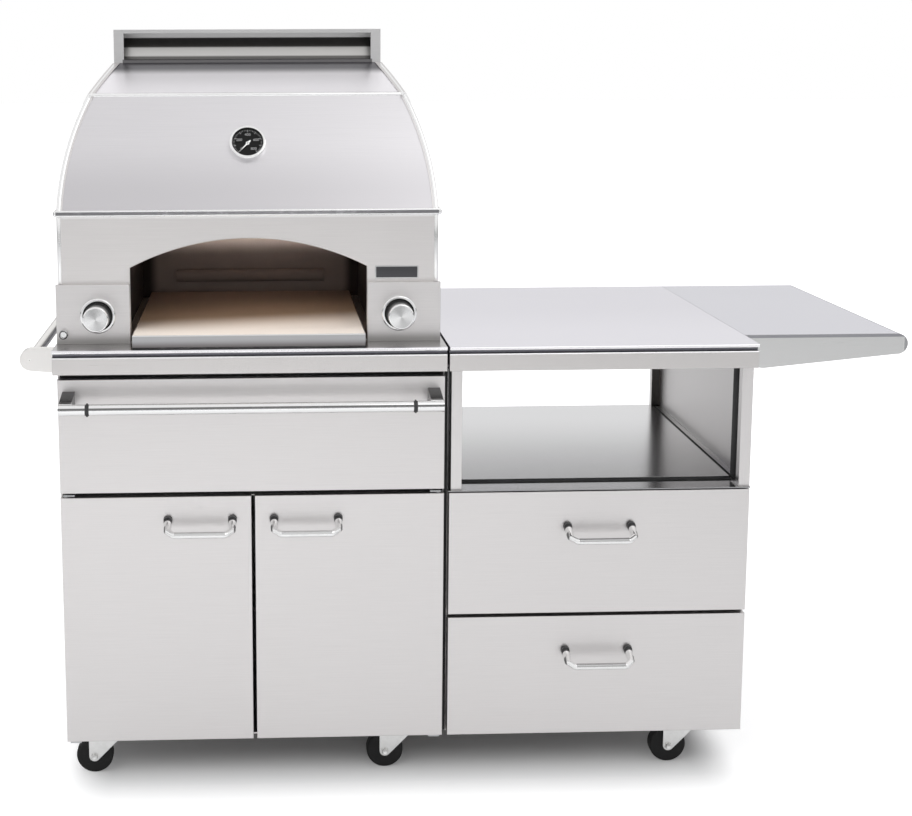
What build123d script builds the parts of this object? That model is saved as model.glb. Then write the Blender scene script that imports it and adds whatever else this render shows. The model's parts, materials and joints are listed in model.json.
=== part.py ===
from build123d import *

import os
from math import acos, asin, atan2, cos, degrees, hypot, radians, sin

# A gas pizza oven on a rolling two-cabinet cart, in millimetres with +Z up.
# The origin is on the floor under the middle of the cart. X runs along the cart, from the push handle
# to the folding shelf, and the doors and drawers face -Y.

os.makedirs("parts", exist_ok=True)

# Sheet metal and clearances
panel = 2.0  # sheet of the cabinets, counters and oven
skin = 1.5  # sheet of doors, drawers and the oven's outer sides
joint_gap = 0.2  # between separate pieces of one unit
running = 0.05  # radial clearance of a shaft in its hole

# Cabinets
left_width = 760.0
right_width = 605.0
seam_gap = 6.0  # between the two cabinets
link_size = 30.0  # spacers that bolt the cabinets together
carcass_depth = 709.0
body_bottom = 95.0  # underside of the cabinets above the floor
floor_sheet = 3.0
counter_top = 900.0
door_thickness = 22.0
door_air = 6.0  # behind the doors and drawer fronts
front_gap = 7.0  # between the two doors
edge_gap = 2.0  # round the doors and drawer fronts
front_round = 1.4  # face edges of the doors and drawer fronts

# Countertops
counter_rim = 48.0
counter_front_lap = 17.0  # nose in front of the door faces
counter_back_lap = 5.0
counter_left_lap = 5.0
counter_right_lap = 2.0
counter_seam = 5.0
nose_height = 7.0
nose_proud = 3.0  # nose in front of the rim below it
nose_round = 3.2
groove_height = 6.5  # shadow groove between nose and rim
groove_depth = 10.0
rim_round = 3.0

# Heights of the front pieces above the cabinet's underside
door_height = 506.0
door_lift = 2.0
wide_drawer_lift = 517.0
wide_drawer_height = 228.0
lower_drawer_height = 248.0
drawer_gap = 7.0
deck_lift = 510.0  # shelf over the two right drawers

# Open bay
post_width = 22.0
post_depth = 57.0
post_setback = 9.0
bay_floor_lift = 6.0
bay_floor_setback = 71.0

# Drawer boxes and runners
box_depth = 620.0
box_margin = 24.0  # drawer box below and above its front's edges
runner_length = 580.0
runner_height = 40.0
runner_width = 12.5
runner_sheet = 1.5
runner_play = 0.3

# Bow handles
bow_spacing = 127.0
bow_reach = 48.0
bow_drop = 18.0
bow_corner = 13.0  # cut-off corners of the bow
bow_radius = 6.5
bow_bend = 7.0
arm_radius = 9.0  # where the arms leave the posts
ferrule_radius = 8.0
ferrule_height = 9.0
door_handle_drop = 46.0  # below the door's top edge
door_handle_inset = 101.0  # from the door's free edge
drawer_handle_drop = 70.0

# Full-width bar handle of the wide drawer
bar_radius = 11.0
bar_wall = 1.5
bar_reach = 71.0
bar_drop = 44.0  # below the drawer's top edge
bar_inset = 12.0  # bar end inside the drawer front's edge
bar_post_width = 24.0
bar_post_height = 26.0
bar_post_rise = 8.0  # post root above the bar
collar_radius = 13.0
collar_width = 3.0
collar_inset = 55.0  # from the bar's end

# Push handle at the left end
push_reach = 66.0
push_radius = 11.0
push_nose = 22.0  # bracket round the bar
push_bracket = 20.0  # bracket thickness
push_setback = 23.0

# Folding shelf at the right end
shelf_gap = 0.8
shelf_reach = 333.0
shelf_setback = 97.0  # front end behind the counter's nose
shelf_tip = 42.0  # height at the nose
shelf_pivot_out = 40.0
shelf_pivot_down = 30.0
shelf_flange = 10.0
shelf_pin_radius = 5.0
shelf_boss = 10.0
shelf_arm = 5.0
shelf_lug = 24.0

# Doors' pivot pins
pivot_radius = 4.0
pivot_plate = 3.0
pivot_length = 16.0
pivot_inset = 11.0

# Casters
wheel_radius = 37.5
wheel_width = 26.0
wheel_edge = 5.0
caster_trail = 28.0
caster_left_inset = 77.0
caster_middle_inset = 85.0
caster_right_inset = 105.0
caster_front_setback = 50.0  # swivel axes inside the carcass front
caster_back_setback = 84.0
axle_radius = 4.0
fork_sheet = 3.0
fork_air = 2.0  # beside the wheel
fork_eye = 11.0
fork_head = 60.0  # fork's top edge ahead of the axle
fork_top = 83.0
king_radius = 6.0
caster_plate_x = 84.0
caster_plate_y = 64.0
caster_plate = 3.0
bolt_radius = 4.0

# Oven body
oven_half = 378.5
oven_inset = 2.0  # control panel's end inside the counter's end
fascia_half = 374.5
oven_setback = 67.0  # fascia behind the door faces
oven_depth = 649.0
body_height = 254.0
base_sheet = 3.0
mouth_half = 234.0
mouth_side = 150.0
mouth_rise = 57.0
control_height = 118.0
control_depth = 12.0

# Hood and flue
seal_height = 6.0
seal_lap = 5.5
seal_width = 20.0
hood_rise = 225.0
hood_run = 136.0
top_rise = 60.0
top_run = 175.0
hood_radius = 500.0
rim_width = 12.0
flue_half = 283.0
flue_depth = 138.0
flue_height = 70.0
flue_post = 21.0
flue_lip = 6.0
flue_cap = 8.0
vent_set_back = 40.0  # from the flue's front to the vent in its top
baffle_rise = 46.0

# Hearth and vault
hearth_half = 226.0
hearth_thickness = 20.0
hearth_lift = 7.0
hearth_burner_gap = 35.0  # between the stone's end and the burner
sill_setback = 11.0  # behind the counter's nose
rib_half = 10.0
rib_offset = 150.0
vault_half = 250.0
vault_side = 152.0
vault_rise = 63.0
vault_wall = 22.0
service_gap = 70.0  # behind the vault, for the pipes

# Gas train and burner
knob_offset = 296.5  # from the oven's middle
knob_height = 57.0  # above the counter
pipe_radius = 8.0
fitting_half = 13.0
pipe_back = 32.0  # cross pipe inside the oven's back
inlet_radius = 10.45
inlet_proud = 20.0
inlet_play = 0.6
burner_radius = 14.0
burner_half = 170.0
burner_clear = 30.0  # burner's middle in front of the vault's back wall
feed_radius = 7.0
feed_play = 0.3
valve_half = 20.0
valve_depth = 50.0

# Knobs, bezels and button
knob_radius = 25.0
knob_length = 46.0
knob_skirt = 6.0
knob_skirt_proud = 1.0
knob_push = 3.0
knob_notch = 3.0
stem_radius = 4.0
stem_play = 0.5  # in the panels
stem_length = 49.0
bezel_radius = 35.0
bezel_bore = 27.5
bezel_height = 9.0
knob_air = 6.0  # behind the knob
plunger_radius = 8.0
plunger_length = 10.0
plunger_depth = 6.0
plunger_room = plunger_depth + plunger_length + 2 * knob_push
button_radius = 6.5
button_play = 0.1
button_length = 12.5
button_proud = 4.5
button_bezel = 9.0
button_bezel_height = 3.0
button_bezel_play = 0.2
button_inset = 14.0  # from the panel's end
button_height = 20.0  # above the counter

# Thermometer
dial_up = 0.56  # share of the hood's slope
case_radius = 37.0
case_height = 12.0
case_floor = 2.0
case_wall = 5.5
dial_sheet = 1.2
dial_play = 0.3
needle_length = 24.0
needle_tail = 8.0
needle_width = 3.0
needle_sheet = 1.0
needle_lift = 0.7  # above the dial
needle_hub = 3.5
needle_pin = 1.2
needle_angle = 228.0  # rest direction, anticlockwise from the right
probe_radius = 4.0
probe_length = 120.0
probe_play = 0.3

# Places along X, from the seam between the cabinets
left_reach = seam_gap / 2 + left_width + counter_left_lap + push_reach
right_reach = seam_gap / 2 + right_width + counter_right_lap + shelf_gap + shelf_reach
seam_x = (left_reach - right_reach) / 2
left_x1 = seam_x - seam_gap / 2
left_x0 = left_x1 - left_width
right_x0 = seam_x + seam_gap / 2
right_x1 = right_x0 + right_width
left_middle = (left_x0 + left_x1) / 2
right_middle = (right_x0 + right_x1) / 2
left_counter = (left_x0 - counter_left_lap, seam_x - counter_seam / 2)
right_counter = (seam_x + counter_seam / 2, right_x1 + counter_right_lap)
oven_x = left_counter[0] + oven_inset + oven_half
knob_x = (oven_x - knob_offset, oven_x + knob_offset)  # left and right

# Places along Y, from the front faces of the doors and drawers
front_reach = bar_reach + collar_radius
back_reach = door_thickness + door_air + carcass_depth + counter_back_lap
door_face = (front_reach - back_reach) / 2
door_back = door_face + door_thickness
carcass_front = door_back + door_air
carcass_back = carcass_front + carcass_depth
counter_front = door_face - counter_front_lap
counter_back = carcass_back + counter_back_lap
fascia_face = door_face + oven_setback
control_face = fascia_face - control_depth
oven_back = fascia_face + oven_depth
sill_face = counter_front + sill_setback

# Places along Z
counter_bottom = counter_top - counter_rim
counter_under = counter_top - panel
deck_z = body_bottom + deck_lift
door_z = (body_bottom + door_lift, body_bottom + door_lift + door_height)
wide_drawer_z = (body_bottom + wide_drawer_lift, body_bottom + wide_drawer_lift + wide_drawer_height)
lower_drawer_z = (body_bottom + door_lift, body_bottom + door_lift + lower_drawer_height)
upper_drawer_z = (lower_drawer_z[1] + drawer_gap, deck_z - edge_gap)
body_top = counter_top + body_height
hood_bottom = body_top + seal_height
roof_z = hood_bottom + hood_rise + top_rise
knob_z = counter_top + knob_height
hearth_z = counter_top + hearth_lift
hearth_top = hearth_z + hearth_thickness


def block(x, y, z, mode=Mode.ADD):
    """A box between three pairs of limits."""
    limits = (x, y, z)
    middle = tuple((low + high) / 2 for low, high in limits)
    with Locations(middle):
        Box(*(high - low for low, high in limits), mode=mode)


def rod(x, y, z, radius, mode=Mode.ADD):
    """A round bar along the one axis that is given as a pair of limits."""
    limits = [span if isinstance(span, tuple) else (span, span) for span in (x, y, z)]
    lengths = [high - low for low, high in limits]
    along = lengths.index(max(lengths))
    turn = ((0, 90, 0), (90, 0, 0), (0, 0, 0))[along]
    middle = tuple((low + high) / 2 for low, high in limits)
    with Locations(middle):
        Cylinder(radius, lengths[along], rotation=turn, mode=mode)


def inner(limits, wall):
    """A pair of limits drawn in by a wall at both ends."""
    return (limits[0] + wall, limits[1] - wall)


def around(middle, half):
    """A pair of limits on both sides of a middle."""
    return (middle - half, middle + half)


def front_plane(y):
    """A plane seen from the front, with X across and Z up. Extruding from it runs forwards."""
    return Plane.XZ.offset(-y)


def parallel(points, gap):
    """An open line of points moved sideways by a gap, to the left of its direction, with mitred corners."""
    headings = [atan2(b[1] - a[1], b[0] - a[0]) for a, b in zip(points, points[1:])]
    before = [headings[0]] + headings
    after = headings + [headings[-1]]
    moved = []
    for (across, up), first, second in zip(points, before, after):
        middle = (first + second) / 2
        reach = gap / cos((second - first) / 2)
        moved.append((across - reach * sin(middle), up + reach * cos(middle)))
    return moved


def save(builder, name):
    """Names a finished piece and writes it."""
    builder.part.label = name
    export_step(builder.part, f"parts/{name}.step")


# Cabinet panels

with BuildPart() as cabinet_side_panels:
    for x in (left_x0, left_x1 - panel):
        block((x, x + panel), (carcass_front, carcass_back), (body_bottom, counter_bottom))
    post_back = door_face + post_setback + post_depth
    for x in (right_x0, right_x1 - panel):
        block((x, x + panel), (carcass_front, carcass_back), (body_bottom, deck_z))
        block((x, x + panel), (post_back, carcass_back - post_width), (deck_z + panel, counter_bottom))
save(cabinet_side_panels, "cabinet_side_panels")

left_inside = inner((left_x0, left_x1), panel)
right_inside = inner((right_x0, right_x1), panel)

with BuildPart() as cabinet_floors:
    for inside in (left_inside, right_inside):
        block(inside, (carcass_front, carcass_back - panel), (body_bottom, body_bottom + floor_sheet))
save(cabinet_floors, "cabinet_floors")

with BuildPart() as cabinet_backs:
    floor_top = body_bottom + floor_sheet
    block(left_inside, (carcass_back - panel, carcass_back), (floor_top, counter_bottom))
    block(right_inside, (carcass_back - panel, carcass_back), (floor_top, deck_z))
save(cabinet_backs, "cabinet_backs")

rail_half = 11.0
mid_rail_z = (door_z[1] + wide_drawer_z[0]) / 2
drawer_rail_z = (lower_drawer_z[1] + upper_drawer_z[0]) / 2
post_x = ((right_x0 + post_width / 4, right_x0 + post_width * 5 / 4), (right_x1 - post_width, right_x1))

with BuildPart() as frame_members:
    rail_y = (carcass_front, carcass_front + panel)
    back_rail_y = (carcass_back - 2 * panel, carcass_back - panel)
    block(left_inside, rail_y, (wide_drawer_z[1], counter_under))
    block(left_inside, back_rail_y, (wide_drawer_z[1], counter_under))
    block(left_inside, rail_y, around(mid_rail_z, rail_half))
    block(right_inside, rail_y, around(drawer_rail_z, rail_half))
    for link_y in (carcass_front + 4 * link_size, carcass_back - 4 * link_size):
        for link_z in (body_bottom + 2 * link_size, deck_z - 2 * link_size):
            block((left_x1, right_x0), (link_y, link_y + link_size), (link_z, link_z + link_size))
    for x in post_x:
        front_post_y = (door_face + post_setback, post_back)
        rear_post_y = (carcass_back - post_width, carcass_back)
        for y in (front_post_y, rear_post_y):
            z = (deck_z + panel, counter_under)
            block(x, y, z)
            block(inner(x, panel), inner(y, panel), z, mode=Mode.SUBTRACT)
save(frame_members, "frame_members")

# The deck closes the drawer cabinet, and the bay's floor tray stands on it.
with BuildPart() as bay_floor:
    tray_y = (door_face + bay_floor_setback, carcass_back - post_width - joint_gap)
    tray_top = deck_z + bay_floor_lift
    block((right_x0, right_x1), (door_face + edge_gap, carcass_back), (deck_z, deck_z + panel))
    posts_apart = (post_x[0][1] + joint_gap, post_x[1][0] - joint_gap)
    tray_bottom = deck_z + panel + joint_gap
    block(posts_apart, tray_y, (tray_bottom, tray_top))
    block(posts_apart, inner(tray_y, panel), (tray_bottom, tray_top - panel), mode=Mode.SUBTRACT)
save(bay_floor, "bay_floor")

# Countertops


rim_front = counter_front + nose_proud
groove_back = rim_front + groove_depth


def countertop(ends):
    """A counter pan with an open underside: a rim, a groove and a round-edged nose, between two ends."""
    with BuildPart() as pan:
        with BuildSketch(Plane.YZ.offset(ends[0])) as section:
            with BuildLine():
                nose_bottom = counter_top - nose_height
                rim_top = nose_bottom - groove_height
                Polyline(
                    (rim_front, counter_bottom),
                    (counter_back, counter_bottom),
                    (counter_back, counter_top),
                    (counter_front, counter_top),
                    (counter_front, nose_bottom),
                    (groove_back, nose_bottom),
                    (groove_back, rim_top),
                    (rim_front, rim_top),
                    close=True,
                )
            make_face()
            fillet(section.vertices().group_by(Axis.X)[0], nose_round)
            fillet(section.vertices().filter_by_position(Axis.Y, rim_top, rim_top).sort_by(Axis.X)[0], rim_round)
        extrude(amount=ends[1] - ends[0])
        with BuildSketch(Plane.YZ.offset(ends[0] + panel)):
            hollow_y = (groove_back + panel, counter_back - panel)
            with Locations((sum(hollow_y) / 2, (counter_bottom + counter_under) / 2)):
                Rectangle(hollow_y[1] - hollow_y[0], counter_under - counter_bottom)
        extrude(amount=ends[1] - ends[0] - 2 * panel, mode=Mode.SUBTRACT)
    return pan


save(countertop(left_counter), "left_countertop")
save(countertop(right_counter), "right_countertop")

# Doors and drawer fronts


def front_tray(x, z):
    """A sheet-metal tray facing the front, with a rounded face edge and an open back."""
    with BuildPart() as tray:
        block(x, (door_face, door_back), z)
        fillet(tray.faces().sort_by(Axis.Y)[0].edges(), front_round)
        block(inner(x, skin), (door_face + skin, door_back), inner(z, skin), mode=Mode.SUBTRACT)
    return tray


def bow_handle(x, z):
    """A bow handle with its two posts on the front faces at height z."""
    half = bow_spacing / 2
    length = hypot(bow_reach, bow_drop)
    lean = Plane((x, door_face, z), x_dir=(1, 0, 0), z_dir=(0, bow_drop, -bow_reach))
    with BuildPart() as handle:
        with BuildLine(lean) as path:
            FilletPolyline(
                (-half, 0),
                (-half, length - bow_corner),
                (bow_corner - half, length),
                (half - bow_corner, length),
                (half, length - bow_corner),
                (half, 0),
                radius=bow_bend,
            )
        with BuildSketch(Plane(path.line ^ 0)):
            Circle(bow_radius)
        sweep()
        arm = length - bow_corner
        for side in (-half, half):
            root = Plane(lean.from_local_coords((side, 0, 0)), z_dir=lean.y_dir)
            with Locations(root.location):
                Cone(arm_radius, bow_radius, arm, align=(Align.CENTER, Align.CENTER, Align.MIN))
            rod(x + side, (door_face - ferrule_height, door_face), z, ferrule_radius)
        behind = (door_face, door_face + 2 * bow_radius)
        block(around(x, bow_spacing), behind, around(z, bow_spacing), mode=Mode.SUBTRACT)
    return handle


door_ends = (
    (left_x0 + edge_gap, left_middle - front_gap / 2),
    (left_middle + front_gap / 2, left_x1 - edge_gap),
)
pivot_x = (door_ends[0][0] + pivot_inset, door_ends[1][1] - pivot_inset)
pivot_y = door_face + pivot_inset
handle_x = (door_ends[0][1] - door_handle_inset, door_ends[1][0] + door_handle_inset)

for side, ends, pivot, grip in zip(("left", "right"), door_ends, pivot_x, handle_x):
    with BuildPart() as door:
        add(front_tray(ends, door_z).part)
        liner_y = (door_back - 2 * skin, door_back - skin)
        block(inner(ends, skin + joint_gap), liner_y, inner(door_z, skin + joint_gap))
        rod(pivot, pivot_y, inner(door_z, -1), pivot_radius + running, mode=Mode.SUBTRACT)
    save(door, f"{side}_door")
    save(bow_handle(grip, door_z[1] - door_handle_drop), f"{side}_door_handle")

# A pin above and below each door, on plates that the rail and the floor carry.
with BuildPart() as door_pivots:
    for pivot, inwards in zip(pivot_x, (1, -1)):
        plate_x = (pivot - pivot_inset / 2, pivot + pivot_inset * 3 / 2)
        if inwards < 0:
            plate_x = (pivot - pivot_inset * 3 / 2, pivot + pivot_inset / 2)
        top_plate_z = (door_z[1] + skin, door_z[1] + skin + pivot_plate)
        block(plate_x, (pivot_y - pivot_inset / 2, carcass_front), top_plate_z)
        rod(pivot, pivot_y, (door_z[1] - pivot_length, top_plate_z[1]), pivot_radius)
        low_plate_z = (body_bottom - pivot_plate, body_bottom)
        block(plate_x, (pivot_y - pivot_inset / 2, carcass_front + 2 * pivot_inset), low_plate_z)
        rod(pivot, pivot_y, (low_plate_z[0], door_z[0] + pivot_length), pivot_radius)
save(door_pivots, "door_pivots")

# Drawers on runners

drawers = {
    "wide_drawer": (left_inside, inner((left_x0, left_x1), edge_gap), wide_drawer_z),
    "upper_drawer": (right_inside, inner((right_x0, right_x1), edge_gap), upper_drawer_z),
    "lower_drawer": (right_inside, inner((right_x0, right_x1), edge_gap), lower_drawer_z),
}
runner_y = (carcass_front + runner_width, carcass_front + runner_width + runner_length)


def box_heights(front_z):
    """The drawer box behind a front, lower at its top for the rails."""
    return (front_z[0] + box_margin, front_z[1] - 2 * box_margin)


with BuildPart() as drawer_runners:
    for inside, front_x, front_z in drawers.values():
        middle = sum(box_heights(front_z)) / 2
        span = around(middle, runner_height / 2)
        for wall, inwards in zip(inside, (1, -1)):
            rail_x = sorted((wall, wall + inwards * (runner_width - runner_sheet)))
            hollow_x = sorted((wall + inwards * runner_sheet, wall + inwards * runner_width))
            block(tuple(rail_x), runner_y, span)
            block(tuple(hollow_x), runner_y, inner(span, runner_sheet), mode=Mode.SUBTRACT)
save(drawer_runners, "drawer_runners")

for name, (inside, front_x, front_z) in drawers.items():
    save(front_tray(front_x, front_z), f"{name}_front")

    box_z = box_heights(front_z)
    box_x = inner(inside, runner_width)
    box_y = (door_face + skin, door_face + skin + box_depth)
    with BuildPart() as box:
        block(box_x, box_y, box_z)
        open_z = (box_z[0] + skin, box_z[1])
        block(inner(box_x, skin), inner(box_y, skin), open_z, mode=Mode.SUBTRACT)
        middle = sum(box_z) / 2
        slider_half = runner_height / 2 - runner_sheet - runner_play
        for wall, inwards in zip(inside, (1, -1)):
            slider_x = sorted((wall + inwards * (runner_sheet + running * 20), wall + inwards * runner_width))
            hollow_x = sorted((wall, wall + inwards * (runner_width - runner_sheet + running)))
            slider_z = around(middle, slider_half)
            block(tuple(slider_x), runner_y, slider_z)
            block(tuple(hollow_x), runner_y, inner(slider_z, runner_sheet), mode=Mode.SUBTRACT)
    save(box, f"{name}_box")

for name in ("upper_drawer", "lower_drawer"):
    save(bow_handle(right_middle, drawers[name][2][1] - drawer_handle_drop), f"{name}_handle")

# The wide drawer's bar: a tube held by two posts, with a collar near each end.
with BuildPart() as wide_drawer_handle:
    bar_x = inner((left_x0, left_x1), bar_inset)
    bar_y = door_face - bar_reach
    bar_z = wide_drawer_z[1] - bar_drop
    rod(bar_x, bar_y, bar_z, bar_radius)
    rod(bar_x, bar_y, bar_z, bar_radius - bar_wall, mode=Mode.SUBTRACT)
    for end, inwards in zip(bar_x, (1, -1)):
        post_start = end if inwards > 0 else end - bar_post_width
        root_z = bar_z + bar_post_rise
        with BuildSketch(Plane.YZ.offset(post_start)):
            with BuildLine():
                Polyline(
                    (door_face, root_z - bar_post_height / 2),
                    (door_face, root_z + bar_post_height / 2),
                    (bar_y + bar_radius / 2, bar_z + bar_radius),
                    (bar_y + bar_radius / 2, bar_z - bar_radius),
                    close=True,
                )
            make_face()
            with Locations((bar_y, bar_z)):
                Circle(bar_radius + joint_gap, mode=Mode.SUBTRACT)
        extrude(amount=bar_post_width)
        collar_x = end + inwards * collar_inset
        with BuildSketch(Plane.YZ.offset(collar_x - collar_width / 2)):
            with Locations((bar_y, bar_z)):
                Circle(collar_radius)
                Circle(bar_radius + joint_gap, mode=Mode.SUBTRACT)
        extrude(amount=collar_width)
save(wide_drawer_handle, "wide_drawer_handle")

# Push handle: a tube between two tapered brackets on the left counter's end.
with BuildPart() as push_handle:
    bracket_x = left_counter[0]
    push_x = bracket_x - push_reach + push_nose
    push_z = counter_top - push_nose
    bracket_ys = (door_face + push_setback, carcass_back - push_setback)
    lower_angle = degrees(atan2(counter_rim - 2 * push_nose, push_reach - push_nose))
    for bracket_y in bracket_ys:
        with BuildSketch(front_plane(bracket_y + push_bracket / 2)):
            with BuildLine():
                arc = CenterArc((push_x, push_z), push_nose, 90, 180 - lower_angle)
                Polyline(arc @ 1, (bracket_x, counter_bottom), (bracket_x, counter_top), arc @ 0)
            make_face()
        extrude(amount=push_bracket)
    tube_y = inner(bracket_ys, push_bracket / 2 + joint_gap)
    rod(push_x, tube_y, push_z, push_radius)
    rod(push_x, tube_y, push_z, push_radius - bar_wall, mode=Mode.SUBTRACT)
save(push_handle, "push_handle")

# Folding shelf: a pan with a round nose, turning on a pin in each end cap.
shelf_x0 = right_counter[1] + shelf_gap
shelf_x1 = shelf_x0 + shelf_reach
shelf_y = (counter_front + shelf_setback, counter_back)
hinge_x = shelf_x0 + shelf_pivot_out
hinge_z = counter_top - shelf_pivot_down
heel = shelf_pivot_out - edge_gap  # clears the counter's end as the shelf folds
shelf_root = shelf_pivot_down + heel


def shelf_outline(wall):
    """The shelf seen from the front, drawn in by a wall."""
    tip_x = shelf_x1 - shelf_tip / 2
    tip_z = counter_top - shelf_tip / 2
    fall = degrees(atan2(shelf_root - shelf_tip, tip_x - hinge_x))
    with BuildLine() as outline:
        nose = CenterArc((tip_x, tip_z), shelf_tip / 2 - wall, 90, -180 - fall)
        round_heel = CenterArc((hinge_x, hinge_z), heel - wall, 270, -90)
        Line(nose @ 1, round_heel @ 0)
        Polyline(round_heel @ 1, (shelf_x0 + wall, hinge_z), (shelf_x0 + wall, counter_top - wall), nose @ 0)
    make_face(outline.edges())


with BuildPart() as side_shelf:
    with BuildSketch(front_plane(shelf_y[1])):
        shelf_outline(0)
    extrude(amount=shelf_y[1] - shelf_y[0])
    with BuildSketch(front_plane(shelf_y[1] - panel)):
        shelf_outline(panel)
    extrude(amount=shelf_y[1] - shelf_y[0] - 2 * panel, mode=Mode.SUBTRACT)
    open_z = (counter_top - shelf_root - panel, counter_top - shelf_flange)
    open_x = (shelf_x0 - panel, hinge_x + shelf_pivot_out)
    block(open_x, inner(shelf_y, panel), open_z, mode=Mode.SUBTRACT)
    under_z = (counter_top - shelf_root - panel, counter_top - shelf_tip + panel)
    block((shelf_x0 - panel, shelf_x1 - shelf_tip), inner(shelf_y, panel), under_z, mode=Mode.SUBTRACT)
    for cap in (
        (shelf_y[0] + panel, shelf_y[0] + panel + shelf_boss),
        (shelf_y[1] - panel - shelf_boss, shelf_y[1] - panel),
    ):
        rod(hinge_x, cap, hinge_z, 2 * shelf_pin_radius)
        rod(hinge_x, cap, hinge_z, shelf_pin_radius + running, mode=Mode.SUBTRACT)
save(side_shelf, "side_shelf")

with BuildPart() as side_shelf_brackets:
    for end, inwards in zip(inner(shelf_y, panel), (1, -1)):
        arm_start = end + inwards * (shelf_boss + 1)
        arm_y = tuple(sorted((arm_start, arm_start + inwards * shelf_arm)))
        pin_y = tuple(sorted((end + inwards, arm_start + inwards * shelf_arm)))
        foot_y = tuple(sorted((arm_start, arm_start + inwards * 2 * shelf_lug)))
        lug_z = around(hinge_z, shelf_lug / 2)
        block((right_counter[1], right_counter[1] + floor_sheet), foot_y, lug_z)
        block((right_counter[1], hinge_x), arm_y, lug_z)
        rod(hinge_x, arm_y, hinge_z, shelf_lug / 2)
        rod(hinge_x, pin_y, hinge_z, shelf_pin_radius)
save(side_shelf_brackets, "side_shelf_brackets")

# Casters

caster_x = (
    left_x0 + caster_left_inset,
    left_x1 - caster_middle_inset,
    right_x1 - caster_right_inset,
)
caster_y = (carcass_front + caster_front_setback, carcass_back - caster_back_setback)
casters = {
    f"{row}_{place}": (x, y)
    for row, y in zip(("front", "rear"), caster_y)
    for place, x in zip(("left", "middle", "right"), caster_x)
}
fork_inside = wheel_width / 2 + fork_air
fork_outside = fork_inside + fork_sheet
plate_bottom = body_bottom - caster_plate

with BuildPart() as caster_plates:
    for x, y in casters.values():
        half_x = caster_plate_x / 2
        half_y = caster_plate_y / 2
        block(around(x, half_x), around(y, half_y), (plate_bottom, body_bottom))
        rod(x, y, (fork_top + running * 4, plate_bottom), 3 * king_radius)
        rod(x, y, (fork_top - 2 * fork_sheet, plate_bottom), king_radius)
        rod(x, y, (fork_top - 2 * fork_sheet, fork_top - fork_sheet - running * 4), 1.5 * king_radius)
        for dx in (2 * bolt_radius - half_x, half_x - 2 * bolt_radius):
            for dy in (2 * bolt_radius - half_y, half_y - 2 * bolt_radius):
                rod(x + dx, y + dy, (plate_bottom - bolt_radius, plate_bottom), 1.5 * bolt_radius)
save(caster_plates, "caster_plates")


def fork_leg(axle_x, axle_z):
    """A fork's side plate: a round eye at the axle, an upright edge and a slanting edge."""
    rise = fork_top - axle_z
    reach = hypot(fork_head, rise)
    tangent = atan2(rise, fork_head) - acos(fork_eye / reach)
    with BuildLine() as outline:
        touch = (axle_x + fork_eye * cos(tangent), axle_z + fork_eye * sin(tangent))
        Polyline(
            touch,
            (axle_x + fork_head, fork_top),
            (axle_x - fork_eye, fork_top),
            (axle_x - fork_eye, axle_z),
        )
        CenterArc((axle_x, axle_z), fork_eye, 180, 180 + degrees(tangent))
    make_face(outline.edges())


for name, (x, y) in casters.items():
    axle_x = x - caster_trail
    with BuildPart() as fork:
        for leg_y in (y + fork_outside, y - fork_inside):
            with BuildSketch(front_plane(leg_y)):
                fork_leg(axle_x, wheel_radius)
            extrude(amount=fork_sheet)
        crown_x = (axle_x - fork_eye, axle_x + fork_head)
        block(crown_x, (y - fork_outside, y + fork_outside), (fork_top - fork_sheet, fork_top))
        rod(x, y, around(fork_top, 2 * fork_sheet), king_radius + running, mode=Mode.SUBTRACT)
        ends = (y - fork_outside - fork_sheet, y + fork_outside + fork_sheet)
        rod(axle_x, ends, wheel_radius, axle_radius)
        for head in ((ends[0], ends[0] + fork_sheet), (ends[1] - fork_sheet, ends[1])):
            rod(axle_x, head, wheel_radius, 1.5 * axle_radius)
    save(fork, f"caster_fork_{name}")

    with BuildPart() as wheel:
        wheel_y = (y - wheel_width / 2, y + wheel_width / 2)
        rod(axle_x, wheel_y, wheel_radius, wheel_radius)
        fillet(wheel.edges().filter_by(GeomType.CIRCLE), wheel_edge)
        rod(axle_x, inner(wheel_y, -1), wheel_radius, axle_radius + running, mode=Mode.SUBTRACT)
    save(wheel, f"caster_wheel_{name}")

# Oven body

oven_x_outer = around(oven_x, fascia_half)
oven_inside = inner(oven_x_outer, skin)


def arched_shape(half, bottom, spring, rise):
    """An opening with upright sides and an arched top, seen from the front."""
    with BuildLine() as outline:
        left, right = around(oven_x, half)
        Polyline((left, spring), (left, bottom), (right, bottom), (right, spring))
        ThreePointArc((right, spring), (oven_x, spring + rise), (left, spring))
    make_face(outline.edges())


with BuildPart() as oven_front_fascia:
    block(oven_x_outer, (fascia_face, fascia_face + panel), (counter_top, body_top))
    with BuildSketch(front_plane(fascia_face + 2 * panel)):
        arched_shape(mouth_half, counter_top - panel, counter_top + mouth_side, mouth_rise)
    extrude(amount=3 * panel, mode=Mode.SUBTRACT)
    for x in knob_x:
        rod(x, around(fascia_face, 2 * panel), knob_z, stem_radius + stem_play, mode=Mode.SUBTRACT)
save(oven_front_fascia, "oven_front_fascia")

button_x = oven_x - oven_half + button_inset
button_z = counter_top + button_height

with BuildPart() as control_panels:
    control_z = (counter_top, counter_top + control_height)
    for side in (-1, 1):
        ends = tuple(sorted((oven_x + side * mouth_half, oven_x + side * oven_half)))
        block(ends, (control_face, fascia_face), control_z)
        hollow_y = (control_face + panel, fascia_face)
        block(inner(ends, panel), hollow_y, inner(control_z, panel), mode=Mode.SUBTRACT)
    front_sheet = (control_face - panel, control_face + 2 * panel)
    for x in knob_x:
        rod(x, front_sheet, knob_z, stem_radius + stem_play, mode=Mode.SUBTRACT)
    rod(button_x, front_sheet, button_z, button_radius + button_play, mode=Mode.SUBTRACT)
save(control_panels, "control_panels")

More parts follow.
